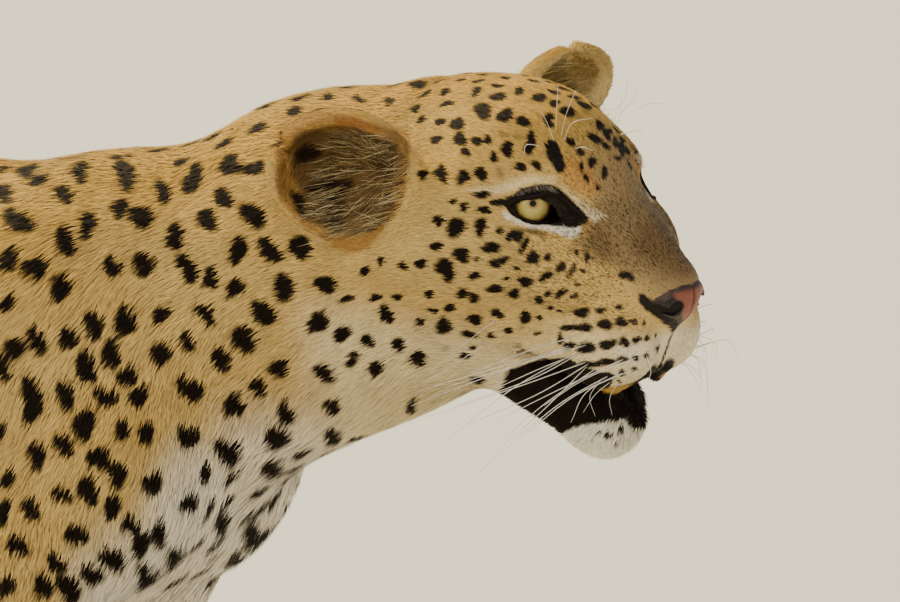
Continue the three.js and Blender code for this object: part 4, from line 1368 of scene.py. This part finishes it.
def tuft_points(roots, normals, lie, length, width, lift):
    """Five points for each tuft: two at the root, two half way and the tip."""
    side = unit(np.cross(normals, lie))
    rise, ahead = np.sin(lift)[:, None], np.cos(lift)[:, None]
    start = roots - normals * 0.4
    middle = start + (lie * ahead + normals * rise) * length[:, None] * 0.5
    tip = middle + (lie * (ahead + 0.35) + normals * rise * 0.45) / 1.2 * length[:, None] * 0.5
    half = side * width[:, None] / 2
    return np.stack([start - half, start + half, middle - half * 0.8, middle + half * 0.8, tip], axis=1)


def bake_places(roots):
    """A place for each root on an unwrap of the skin: a tile for each bone, along it and round it."""
    pulls, aways = bone_nearness(roots)
    own = pulls.argmax(0)
    columns = 6
    rows = math.ceil(len(BONES) / columns)
    places = np.zeros((len(roots), 2))
    for index, bone in enumerate(BONES):
        part = own == index
        start, end = (np.asarray(place, float) for place in bone["line"])
        axis = unit(end - start)
        side = unit(np.cross(axis, (0.1, 1.0, 0.2)))
        rise = np.cross(axis, side)
        offset = roots[part] - start
        length = np.linalg.norm(end - start) + 2 * bone["radius"]
        along = np.clip((offset @ axis + bone["radius"]) / length, 0, 1)
        away = aways[index][part]
        around = np.arctan2(away @ rise, away @ side) / (2 * math.pi) + 0.5
        tile = np.array([index % columns, index // columns])
        places[part] = (tile + 0.03 + 0.94 * np.column_stack([along, around])) / (columns, rows)
    return places


# Each tuft's small patch on the unwrap, and how light its five points are: darker at the root as painted
# shade, lighter at the tip as painted light
BAKE_PATCH = 0.003
PATCH_CORNERS = np.array([(-0.5, -0.5), (0.5, -0.5), (-0.4, 0.1), (0.4, 0.1), (0, 0.5)]) * BAKE_PATCH
TUFT_PAINTED_SHADE = np.array([0.62, 0.62, 0.95, 0.95, 1.12])


def tuft_pieces(name, roots, normals, lie, length, width, lift, colours):
    """Meshes of tufts with their colours, soft normals and a place to bake each."""
    places = tuft_points(roots, normals, lie, length, width, lift)
    bakes = bake_places(roots)[:, None] + PATCH_CORNERS
    shading = unit(normals + 0.28 * lie + rng.normal(0, 0.13, roots.shape))
    pieces = math.ceil(len(roots) / TUFTS_A_PIECE)
    for number, part in enumerate(np.array_split(np.arange(len(roots)), pieces)):
        faces = (np.arange(len(part))[:, None, None] * TUFT_POINTS + TUFT_FACES).reshape(-1, 3)
        label = f"{name}_{number + 1}" if pieces > 1 else name
        piece = mesh_piece(label, places[part].reshape(-1, 3), faces, HAIR)
        # each tuft's colour is darkened at its root and lightened at its tip: painted shade and painted light
        paint(piece, np.clip(colours[part][:, None] * TUFT_PAINTED_SHADE[:, None], 0, 1).reshape(-1, 3))
        flat = bakes[part].reshape(-1, 2)[faces.ravel()]
        layer = piece.data.uv_layers.new(name="OFBake")
        layer.data.foreach_set("uv", flat.astype(np.float32).ravel())
        piece.data.normals_split_custom_set_from_vertices(np.repeat(shading[part], TUFT_POINTS, axis=0))


def make_coat():
    """The short coat over the whole skin."""
    roots, normals = plant_roots()
    count = len(roots)
    lie, length = coat_lie(roots, normals)
    side = np.cross(normals, lie)
    swirl = 0.16 * wander(roots, 34, 3) + 0.1 * wander(roots, 11, 4) + rng.normal(0, 0.13, count)
    lie = unit(lie + side * swirl[:, None])
    length = length * rng.uniform(0.75, 1.2, count)
    local = to_head(roots)
    on_head = head_share(roots)
    width = BODY_TUFT + (FRONT_TUFT - BODY_TUFT) * front_share(roots)
    width = width + (HEAD_TUFT - width) * on_head
    width = width * (0.55 + 0.45 * smooth(roots[:, 2], 20, 300)) * (1 - 0.3 * speckle(local) * on_head)
    lift = np.radians(rng.uniform(7, 24, count))
    colours = coat_colours(roots + lie * length[:, None] * 0.5, normals, marks)
    uneven = rng.normal(0, 1, count) * (0.1 + 0.16 * speckle(local) * on_head)
    colours *= (1 + uneven + 0.07 * wander(roots, 16, 5))[:, None]
    speckled = (rng.random(count) < 0.6) * speckle(local) * rng.uniform(0.3, 1.0, count)
    colours = mix(colours, BLACK, speckled)
    tuft_pieces("coat", roots, normals, lie, length, width, lift, colours)


def speckle(local):
    """How much dark hair is mixed into the coat: most on the bridge of the nose and the forehead."""
    ahead = smooth(local[:, 0], -20, 50) * smooth(local[:, 2], -66, -40)
    return 0.12 + 0.88 * ahead


# Hair in the ears: how far it droops, and the part of the near ear in which it grows
EAR_HAIR_COUNT = 1800
EAR_HAIR_DROOP = 0.4
EAR_HAIRY = (
    (480, 400), (600, 330), (900, 310), (1200, 350), (1390, 360), (1400, 600), (1390, 900), (1300, 1060),
    (1150, 1180), (900, 1180), (760, 1220), (600, 1080), (470, 860), (400, 640),
)


def make_ear_hair():
    """Long pale hairs, with dark ones among them, in the cup of each ear."""
    for name, ear in EARS.items():
        face = HEAD_TURN @ ear["face"]
        count = int(EAR_HAIR_COUNT * (1 - 0.8 * ear["pale"]))
        aside = rng.uniform(-0.85, 0.85, count) * ear["wide"]
        up = rng.uniform(-0.3, 0.5, count) * ear["long"]
        roots, normals = [], []
        for a, u in zip(aside, up):
            start = from_head(ear_spot(ear, 60, a, u))
            place, normal, _, _ = skin_tree.ray_cast(Vector(start), Vector(-face), 90)
            roots.append((np.nan,) * 3 if place is None else place)
            normals.append((0, 0, 1) if place is None else normal)
        found = ~np.isnan(np.array(roots)[:, 0])
        roots, normals = np.array(roots)[found], np.array(normals)[found]
        count = len(roots)
        way = HEAD_TURN @ ear["along"] + rng.normal(0, 0.13, (count, 3)) - (0, 0, EAR_HAIR_DROOP)
        lie = unit(unit(way) + face * 0.3)
        lie = unit(lie - normals * (lie * normals).sum(1)[:, None])
        length = ear["long"] * rng.uniform(0.12, 0.34, count)
        if not ear["pale"]:
            tips = pixel_of(roots + lie * length[:, None])
            # the hairs keep mostly out of the hollows darkened as painted shade
            darks = [enlarged(EAR_CORNER, EAR_SCALE, part) for part in EAR_HOLLOW_SHADES[:3]]
            dark = np.min([outline_gap(part, tips) for part in darks], axis=0)
            hairy = outline_gap(enlarged(EAR_CORNER, EAR_SCALE, EAR_HAIRY), pixel_of(roots))
            kept = (hairy < 0) & ((dark > -0.5) | (rng.random(count) < 0.2))
            roots, normals, lie, length = roots[kept], normals[kept], lie[kept], length[kept]
            count = len(roots)
        pale = mix(EAR_HAIR, CREAM, rng.random(count) ** 2)
        colours = mix(pale, EAR_BROWN, (rng.random(count) < 0.35) * 0.85)
        colours = mix(colours, EAR_DARK, (rng.random(count) < 0.3) * 0.85)
        colours = colours * rng.uniform(0.7, 1.05, count)[:, None]
        lift = np.radians(rng.uniform(12, 34, count))
        width = rng.uniform(0.25, 0.45, count)
        tuft_pieces(f"ear_hair_{name}", roots, normals, lie, length, width, lift, colours)


# The roots of the far brow's pale hairs, between two pixels of the frame
FAR_BROW = ((635, 157), (640, 170))
FAR_BROW_HAIRS = 70
BROW_HAIR_WIDTH = 0.4


def pinned_all(pixels):
    """The places and normals of the skin under those pixels that lie over it."""
    hits = [hit for hit in (pinned(*pixel) for pixel in pixels) if hit is not None]
    return (np.array(part) for part in zip(*hits))


def make_brow():
    """Pale hairs over the far eye, that stand out from the head's edge."""
    start, end = np.array(FAR_BROW, float)
    spots = start + (end - start) * rng.random((FAR_BROW_HAIRS, 1)) + rng.normal(0, 1.2, (FAR_BROW_HAIRS, 2))
    roots, normals = pinned_all(spots)
    count = len(roots)
    way = RIGHT + 0.5 * UP + rng.normal(0, 0.2, roots.shape)
    way = unit(way - normals * (way * normals).sum(1)[:, None])
    lift = np.radians(rng.uniform(30, 55, count))
    colours = CREAM * rng.uniform(0.75, 1.0, (count, 1))
    length = rng.uniform(4, 7, count)
    tuft_pieces("brow_left", roots, normals, way, length, np.full(count, BROW_HAIR_WIDTH), lift, colours)


# Nose leather, in the head's frame
NOSE_PINK = colour_of("7c4334")
NOSE_DARK = colour_of("33231f")
NOSE_STEP = 0.8
NOSTRILS = both(lambda s: [
    Ball((93, 11.5 * s, -42.5), (9, 5.2, 4.4), 2.5, turned(30 * s, 0, -30 * s)),
    Ball((88, 17.5 * s, -44), (7, 6, 2.6), 2, turned(48 * s, 0, -8 * s)),
])
NOSE_WINGS = both(lambda s: Ball((86, 12.5 * s, -43), (10.5, 8, 9), 6, turned(30 * s, 0, 0)))


def make_nose():
    """The leather over the head's own front, with wings, nostrils and a middle groove."""
    axes = [np.arange(low, high, NOSE_STEP) for low, high in ((60, 106), (-28, 28.1), (-66, -20))]
    grid = Grid(axes)
    x, y, z = grid.places(WHOLE_GRID)
    shape = grid.values.shape
    base = distance_at(HEAD, np.column_stack([np.broadcast_to(part, shape).ravel() for part in (x, y, z)]))
    grid.values = base.reshape(shape).astype(np.float32) - 0.2
    for wing in NOSE_WINGS:
        grid.join(wing)
    across, rise = np.meshgrid(axes[1], axes[2], indexing="ij")
    outline = nose_outline(across, rise)[None]
    grid.values = -joined(-grid.values, -outline, 4.0).astype(np.float32)
    grid.values = np.maximum(grid.values, (70 - x)).astype(np.float32)
    groove = np.hypot(y / 0.8, (x - 100.5 + 0.25 * np.abs(z + 44)) / 3.0) - 0.7
    grid.values = -joined(-grid.values, groove, 1.5).astype(np.float32)
    for nostril in NOSTRILS:
        for form in nostril:
            grid.cut(form)
    places, faces = grid.mesh()
    nose = mesh_piece("nose_leather", from_head(places), faces, LEATHER)
    hollow = np.min([form.distance(*places.T) for nostril in NOSTRILS for form in nostril], axis=0)
    edge = smooth(nose_outline(places[:, 1], places[:, 2]), -3.0, 0)
    top = smooth(places[:, 2], -34, -30)
    colours = mix(np.tile(NOSE_PINK, (len(places), 1)), NOSE_DARK, np.clip(0.75 * edge + 0.8 * top, 0, 1))
    wing = smooth(np.abs(places[:, 1]), 12, 17)
    colours = mix(colours, NOSE_DARK, wing)
    # the nostrils' hollows painted black: painted shade in them
    colours = mix(colours, BLACK, 1 - smooth(hollow, 0.4, 2.6))
    world = from_head(places)
    # black over the nostrils' openings as painted shade, and over the real dark skin below them
    colours = face_patch(NOSTRIL, BLACK, soft=0.6).apply(world, point_normals(world, faces), colours)
    paint(nose, colours)
    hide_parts("nose")


# Eyes and lids
PUPIL_RADIUS = 1.9
IRIS_RADIUS = 11.0
IRIS_YELLOW = colour_of("ab9a56")
IRIS_GREEN = colour_of("857f3e")
IRIS_BROWN = colour_of("6a4a20")
EYE_WHITE = colour_of("241a14")
GAZE = {1: (0.86, 0.46, 0.3), -1: (0.6, -0.74, 0.5)}
EYE_SIDES = 96


def make_eye(s, name):
    """A ball with a raised, clear-coated front, coloured in rings round the way it looks."""
    gaze = unit(HEAD_TURN @ np.array(GAZE[s], float))
    side = unit(np.cross(gaze, (0, 0, 1.0)))
    rise = np.cross(side, gaze)
    tilts = np.concatenate([np.linspace(0.012, 0.95, 52), np.linspace(1.0, math.pi - 0.05, 22)])
    turns = np.arange(EYE_SIDES) * 2 * math.pi / EYE_SIDES
    tilt, turn = np.meshgrid(tilts, turns, indexing="ij")
    radius = EYE_RADIUS - 0.5 + 1.1 * (1 - smooth(tilt, 0.35, 0.86))
    ring = side * np.cos(turn)[..., None] + rise * np.sin(turn)[..., None]
    places = radius[..., None] * (gaze * np.cos(tilt)[..., None] + ring * np.sin(tilt)[..., None])
    places = places.reshape(-1, 3) + from_head((0, EYE_OUT * s, 0))
    faces, caps = band_faces(len(tilts), EYE_SIDES)
    faces = np.concatenate([faces[:, [0, 3, 2, 1]], caps])
    eye = mesh_piece(f"eye_{name}_ball", places, faces, EYE)
    out = EYE_RADIUS * np.sin(np.minimum(tilt, math.pi / 2)).ravel()
    angle = turn.ravel()
    rays = 0.5 + 0.25 * np.sin(angle * 23 + 2 * np.sin(angle * 5)) + 0.25 * np.sin(angle * 41 + out)
    colours = mix(np.tile(IRIS_YELLOW, (len(out), 1)), IRIS_GREEN, 0.55 * rays * smooth(out, 2, 8))
    colours = mix(colours, IRIS_BROWN, (1 - smooth(out, PUPIL_RADIUS, 4.2)) * 0.7)
    colours = mix(colours, IRIS_BROWN, smooth(out, IRIS_RADIUS - 2.6, IRIS_RADIUS - 0.4) * 0.8)
    colours = mix(colours, EYE_WHITE, smooth(out, IRIS_RADIUS - 0.7, IRIS_RADIUS + 0.3))
    colours = mix(colours, BLACK * 0.4, 1 - smooth(out, PUPIL_RADIUS - 0.25, PUPIL_RADIUS + 0.25))
    paint(eye, colours)
    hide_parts(f"eye_{name}")


def cap_quads(ring):
    """Four-sided faces that close a ring with an even number of points."""
    half = len(ring) // 2
    return np.array([(ring[i], ring[i + 1], ring[-i - 2], ring[-i - 1]) for i in range(half - 1)])


def band_faces(rings, around):
    """The faces between rings of points that follow each other, and those that close the first and last."""
    rows = np.arange(rings - 1)[:, None] * around
    here = np.arange(around)[None]
    beside = (here + 1) % around
    faces = np.stack([rows + here, rows + beside, rows + around + beside, rows + around + here], axis=-1)
    ends = [np.arange(around)[::-1], (rings - 1) * around + np.arange(around)]
    return faces.reshape(-1, 4), np.concatenate([cap_quads(end) for end in ends])


# The edges of the near eye's lids, as pixels of the frame
UPPER_LID_PX = (
    (507, 208), (511, 203), (516, 199), (524, 197.5), (532, 197), (540, 195), (548, 193), (556, 194.5),
    (565, 200.5), (574, 208.5), (583, 216), (588, 221),
)
LOWER_LID_PX = (
    (507, 208), (511, 212), (517, 216.5), (525, 220.5), (534, 223), (545, 223), (558, 222),
    (567, 224), (577, 225.5), (588, 221),
)
LID_STEPS = 60


def lid_place(px, py):
    """A point of the lids in the head's frame: on the eye's ball or on the skin, whichever is nearer."""
    origin, direction = CAMERA_AT, unit(pixel_place(px, py) - CAMERA_AT)
    centre = from_head((0, -EYE_OUT, 0))
    offset = origin - centre
    b = offset @ direction
    room = b * b - (offset @ offset - (EYE_RADIUS + 0.9) ** 2)
    on_ball = origin + direction * (-b - math.sqrt(room)) if room > 0 else None
    hit = pinned(px, py)
    if hit is None:
        return to_head(on_ball)
    on_skin = hit[0]
    if on_ball is None:
        return to_head(on_skin)
    nearer = on_ball if (on_ball - origin) @ direction < (on_skin - origin) @ direction else on_skin
    return to_head(nearer)


def spline(points, count):
    """Evenly numbered points of a smooth curve through the given ones."""
    points = np.asarray(points, float)
    padded = np.vstack([2 * points[0] - points[1], points, 2 * points[-1] - points[-2]])
    shares = np.linspace(0, len(points) - 1 - 1e-9, count)
    first = shares.astype(int)
    t = (shares - first)[:, None]
    a, b, c, d = (padded[first + i] for i in range(4))
    bend = (2 * a - 5 * b + 4 * c - d) * t ** 2
    return 0.5 * (2 * b + (c - a) * t + bend + (3 * b - a - 3 * c + d) * t ** 3)


def tube(line, radii, sides=8):
    """Points and faces of a closed round rod along a line."""
    line = np.asarray(line, float)
    way = unit(np.gradient(line, axis=0))
    side = unit(np.cross(way, (0, 0, 1.0)))
    rise = np.cross(side, way)
    turns = np.arange(sides) * 2 * math.pi / sides
    ring = side[:, None] * np.cos(turns)[None, :, None] + rise[:, None] * np.sin(turns)[None, :, None]
    places = (line[:, None] + ring * np.asarray(radii)[:, None, None]).reshape(-1, 3)
    return places, np.concatenate(band_faces(len(line), sides))


def gather(parts):
    """One set of points and faces from several."""
    starts = np.cumsum([0] + [len(points) for points, _ in parts])
    return np.concatenate([points for points, _ in parts]), np.concatenate(
        [faces + start for (_, faces), start in zip(parts, starts)])


def make_lids():
    """Dark rims along the edges of both eyes' openings."""
    upper = spline([lid_place(*pixel) for pixel in UPPER_LID_PX], LID_STEPS)
    lower = spline([lid_place(*pixel) for pixel in LOWER_LID_PX], LID_STEPS)
    share = np.linspace(0, 1, LID_STEPS)
    thick = np.minimum(smooth(share, -0.05, 0.15), smooth(-share, -1.05, -0.8))
    for s, name in ((-1, "right"), (1, "left")):
        flip = np.array([1, -s, 1])
        corner = 1 - 0.7 * smooth(share, 0.55, 0.8)
        parts = [tube(from_head(upper * flip), 1.7 * thick + 0.3),
                 tube(from_head(lower * flip), 1.1 * thick * corner + 0.3)]
        places, faces = gather(parts)
        if s == 1:
            faces = faces[:, ::-1]
        lids = mesh_piece(f"lids_{name}", places, faces, LID)
        paint(lids, mix(BLACK * 0.6, BLACK, 0.5 + 0.5 * wander(places, 4, 9)))


# The roots of the lashes lie along this line on the enlargement of the face
LASHES = ((296, 398), (330, 370), (380, 352), (440, 348), (478, 362))
LASH_COUNT = 170
LASH_WIDTH = 0.4


def make_lashes():
    """Short grey hairs that hang over the near upper lid, and over the far one."""
    edge = enlarged(FACE_CORNER, FACE_SCALE, LASHES)
    share = rng.random(LASH_COUNT) * (len(edge) - 1.001)
    first = share.astype(int)
    spots = edge[first] + (edge[first + 1] - edge[first]) * (share - first)[:, None]
    roots, normals = pinned_all(spots + rng.normal(0, 0.8, (LASH_COUNT, 2)))
    down = -UP * 0.8 + RIGHT * 0.45
    flip = HEAD_TURN @ np.diag([1.0, -1.0, 1.0]) @ HEAD_TURN.T
    for name, turn in (("right", np.eye(3)), ("left", flip)):
        places = from_head(to_head(roots) * (1, 1 if name == "right" else -1, 1))
        facing = normals @ turn.T
        way = unit(down + rng.normal(0, 0.22, roots.shape)) @ turn.T
        way = unit(way - facing * (way * facing).sum(1)[:, None])
        count = len(roots)
        colours = mix(np.tile(LASH_GREY, (count, 1)), BLACK, rng.random(count) ** 0.7)
        colours = colours * rng.uniform(0.6, 1.3, (count, 1))
        lift = np.radians(rng.uniform(20, 45, count))
        length = rng.uniform(3.5, 6, count)
        tuft_pieces(f"lashes_{name}", places, facing, way, length, np.full(count, LASH_WIDTH), lift, colours)


# Whiskers, read as root, middle and tip on the enlargement of the face
WHISKER_STEPS = 12
WHISKERS = (
    ((540, 1022), (300, 1085), (-60, 1190)), ((600, 1012), (380, 1075), (40, 1180)),
    ((530, 1015), (250, 1120), (-120, 1262)), ((600, 1082), (330, 1180), (-60, 1310)),
    ((610, 1090), (400, 1215), (110, 1340)), ((755, 1070), (480, 1200), (220, 1330)),
    ((605, 1100), (420, 1285), (230, 1450)), ((690, 1140), (470, 1270), (150, 1545)),
    ((752, 1126), (540, 1230), (330, 1400)), ((585, 1040), (380, 1150), (60, 1265)),
    ((808, 1064), (600, 1150), (430, 1260)), ((800, 1110), (610, 1200), (540, 1330)),
    ((540, 980), (350, 1040), (120, 1130)), ((560, 1050), (420, 1105), (230, 1190)),
    ((530, 1060), (300, 1190), (30, 1400)), ((640, 1110), (430, 1255), (260, 1400)),
)
LIP_HAIRS = (
    ((660, 1160), (618, 1225), (640, 1305)), ((700, 1165), (640, 1215), (590, 1290)),
    ((740, 1160), (700, 1230), (710, 1300)), ((852, 1054), (870, 1120), (850, 1180)),
)
BROW_HAIRS = (
    ((478, 130), (480, 60), (487, -60)), ((512, 168), (545, 95), (632, 74)),
    ((348, 232), (355, 186), (408, 188)), ((556, 202), (590, 194), (632, 210)),
    ((470, 170), (440, 90), (400, 20)), ((500, 150), (520, 60), (560, -40)),
)
FAR_HAIRS = (
    ((775, 112), (900, -60), (1085, -219)), ((815, 130), (960, -40), (1122, -198)),
    ((815, 140), (1000, 72), (1200, 52)), ((825, 170), (1000, 134), (1220, 132)),
    ((815, 180), (950, 200), (1090, 240)),
)
CHEEK_HAIRS = (((235, 905), (120, 990), (-40, 1120)), ((180, 1010), (60, 1090), (-70, 1170)))


def at_depth(pixel, depth):
    """The point of a pixel at a distance in front of the camera."""
    place = pixel_place(*pixel)
    return CAMERA_AT + (place - CAMERA_AT) * depth / ((place - CAMERA_AT) @ -BACK)


def hair_path(places, bulge):
    """A curved hair in space whose view from the camera runs through three pixels."""
    pixels = enlarged(FACE_CORNER, FACE_SCALE, places)
    hit = pinned(*pixels[0])
    if hit is None:
        return None
    depth = (hit[0] - CAMERA_AT) @ -BACK
    line = [hit[0], at_depth(pixels[1], depth - bulge), at_depth(pixels[2], depth - bulge * 1.2)]
    return spline(line, WHISKER_STEPS)


def make_whiskers():
    """The whiskers of the lips, chin, brows and cheeks, and those of the far side seen past the face."""
    parts = []

    def grow(places, bulge, thick, twin=True):
        line = hair_path(places, bulge)
        if line is None:
            return
        radii = thick * np.linspace(1, 0.25, len(line)) ** 0.8
        parts.append(tube(line, radii, 4))
        if not twin:
            return
        drift = np.linspace(0, 1, len(line))[:, None] * rng.normal(0, 6, 3)
        parts.append(tube(from_head(to_head(line) * (1, -1, 1)) + drift, radii, 4))

    for places in WHISKERS:
        grow(places, rng.uniform(16, 30), 0.37)
    for hairs, bulge, thick in ((LIP_HAIRS, 7, 0.25), (BROW_HAIRS, 12, 0.28), (CHEEK_HAIRS, 10, 0.25)):
        for places in hairs:
            grow(places, bulge, thick)
    for places in FAR_HAIRS:
        grow(places, 0, 0.3, twin=False)
    places, faces = gather(parts)
    whiskers = mesh_piece("whiskers", places, faces, WHISKER)
    paint(whiskers, mix(WHITE * 0.7, WHITE, 0.5 + 0.5 * wander(places, 16, 8)))


make_coat()
make_ear_hair()
make_brow()
make_nose()
for eye_side, eye_name in ((1, "left"), (-1, "right")):
    make_eye(eye_side, eye_name)
make_lids()
make_lashes()
make_whiskers()


# Floor and light; the floor's half width is in metres
FLOOR_HALF = 200.0


def make_stage():
    """A pale floor and a plain pale sky."""
    corners = [(FLOOR_HALF * x, FLOOR_HALF * y, 0) for x, y in ((-1, -1), (1, -1), (1, 1), (-1, 1))]
    mesh = bpy.data.meshes.new("floor")
    mesh.from_pydata(corners, [], [(0, 1, 2, 3)])
    floor = bpy.data.objects.new("floor", mesh)
    made = bpy.data.materials.new("floor")
    made.use_nodes = True
    shader = made.node_tree.nodes["Principled BSDF"]
    shader.inputs["Base Color"].default_value = (0.72, 0.7, 0.66, 1)
    shader.inputs["Roughness"].default_value = 0.9
    mesh.materials.append(made)
    bpy.context.scene.collection.objects.link(floor)
    world = bpy.data.worlds.new("studio")
    bpy.context.scene.world = world
    world.use_nodes = True
    sky = world.node_tree.nodes["Background"]
    sky.inputs["Color"].default_value = (0.84, 0.86, 0.9, 1)
    sky.inputs["Strength"].default_value = 0.62


def sun(name, way, strength, spread, colour):
    """A distant light that shines from the given direction."""
    lamp = bpy.data.objects.new(name, bpy.data.lights.new(name, "SUN"))
    lamp.data.energy = strength
    lamp.data.angle = math.radians(spread)
    lamp.data.color = colour
    lamp.rotation_mode = "QUATERNION"
    lamp.rotation_quaternion = Vector(way).to_track_quat("Z", "Y")
    bpy.context.scene.collection.objects.link(lamp)


make_stage()
sun("key", -RIGHT * 0.7 - BACK * 0.75 + UP * 0.9, 6.4, 8, (1.0, 0.82, 0.44))
sun("fill", -RIGHT * 0.3 + BACK * 1.0 + UP * 0.9, 1.3, 25, (1.0, 0.96, 0.88))
sun("side", -RIGHT * 0.7 + BACK * 0.68 + UP * 0.23, 0.8, 9, (1.0, 0.9, 0.72))
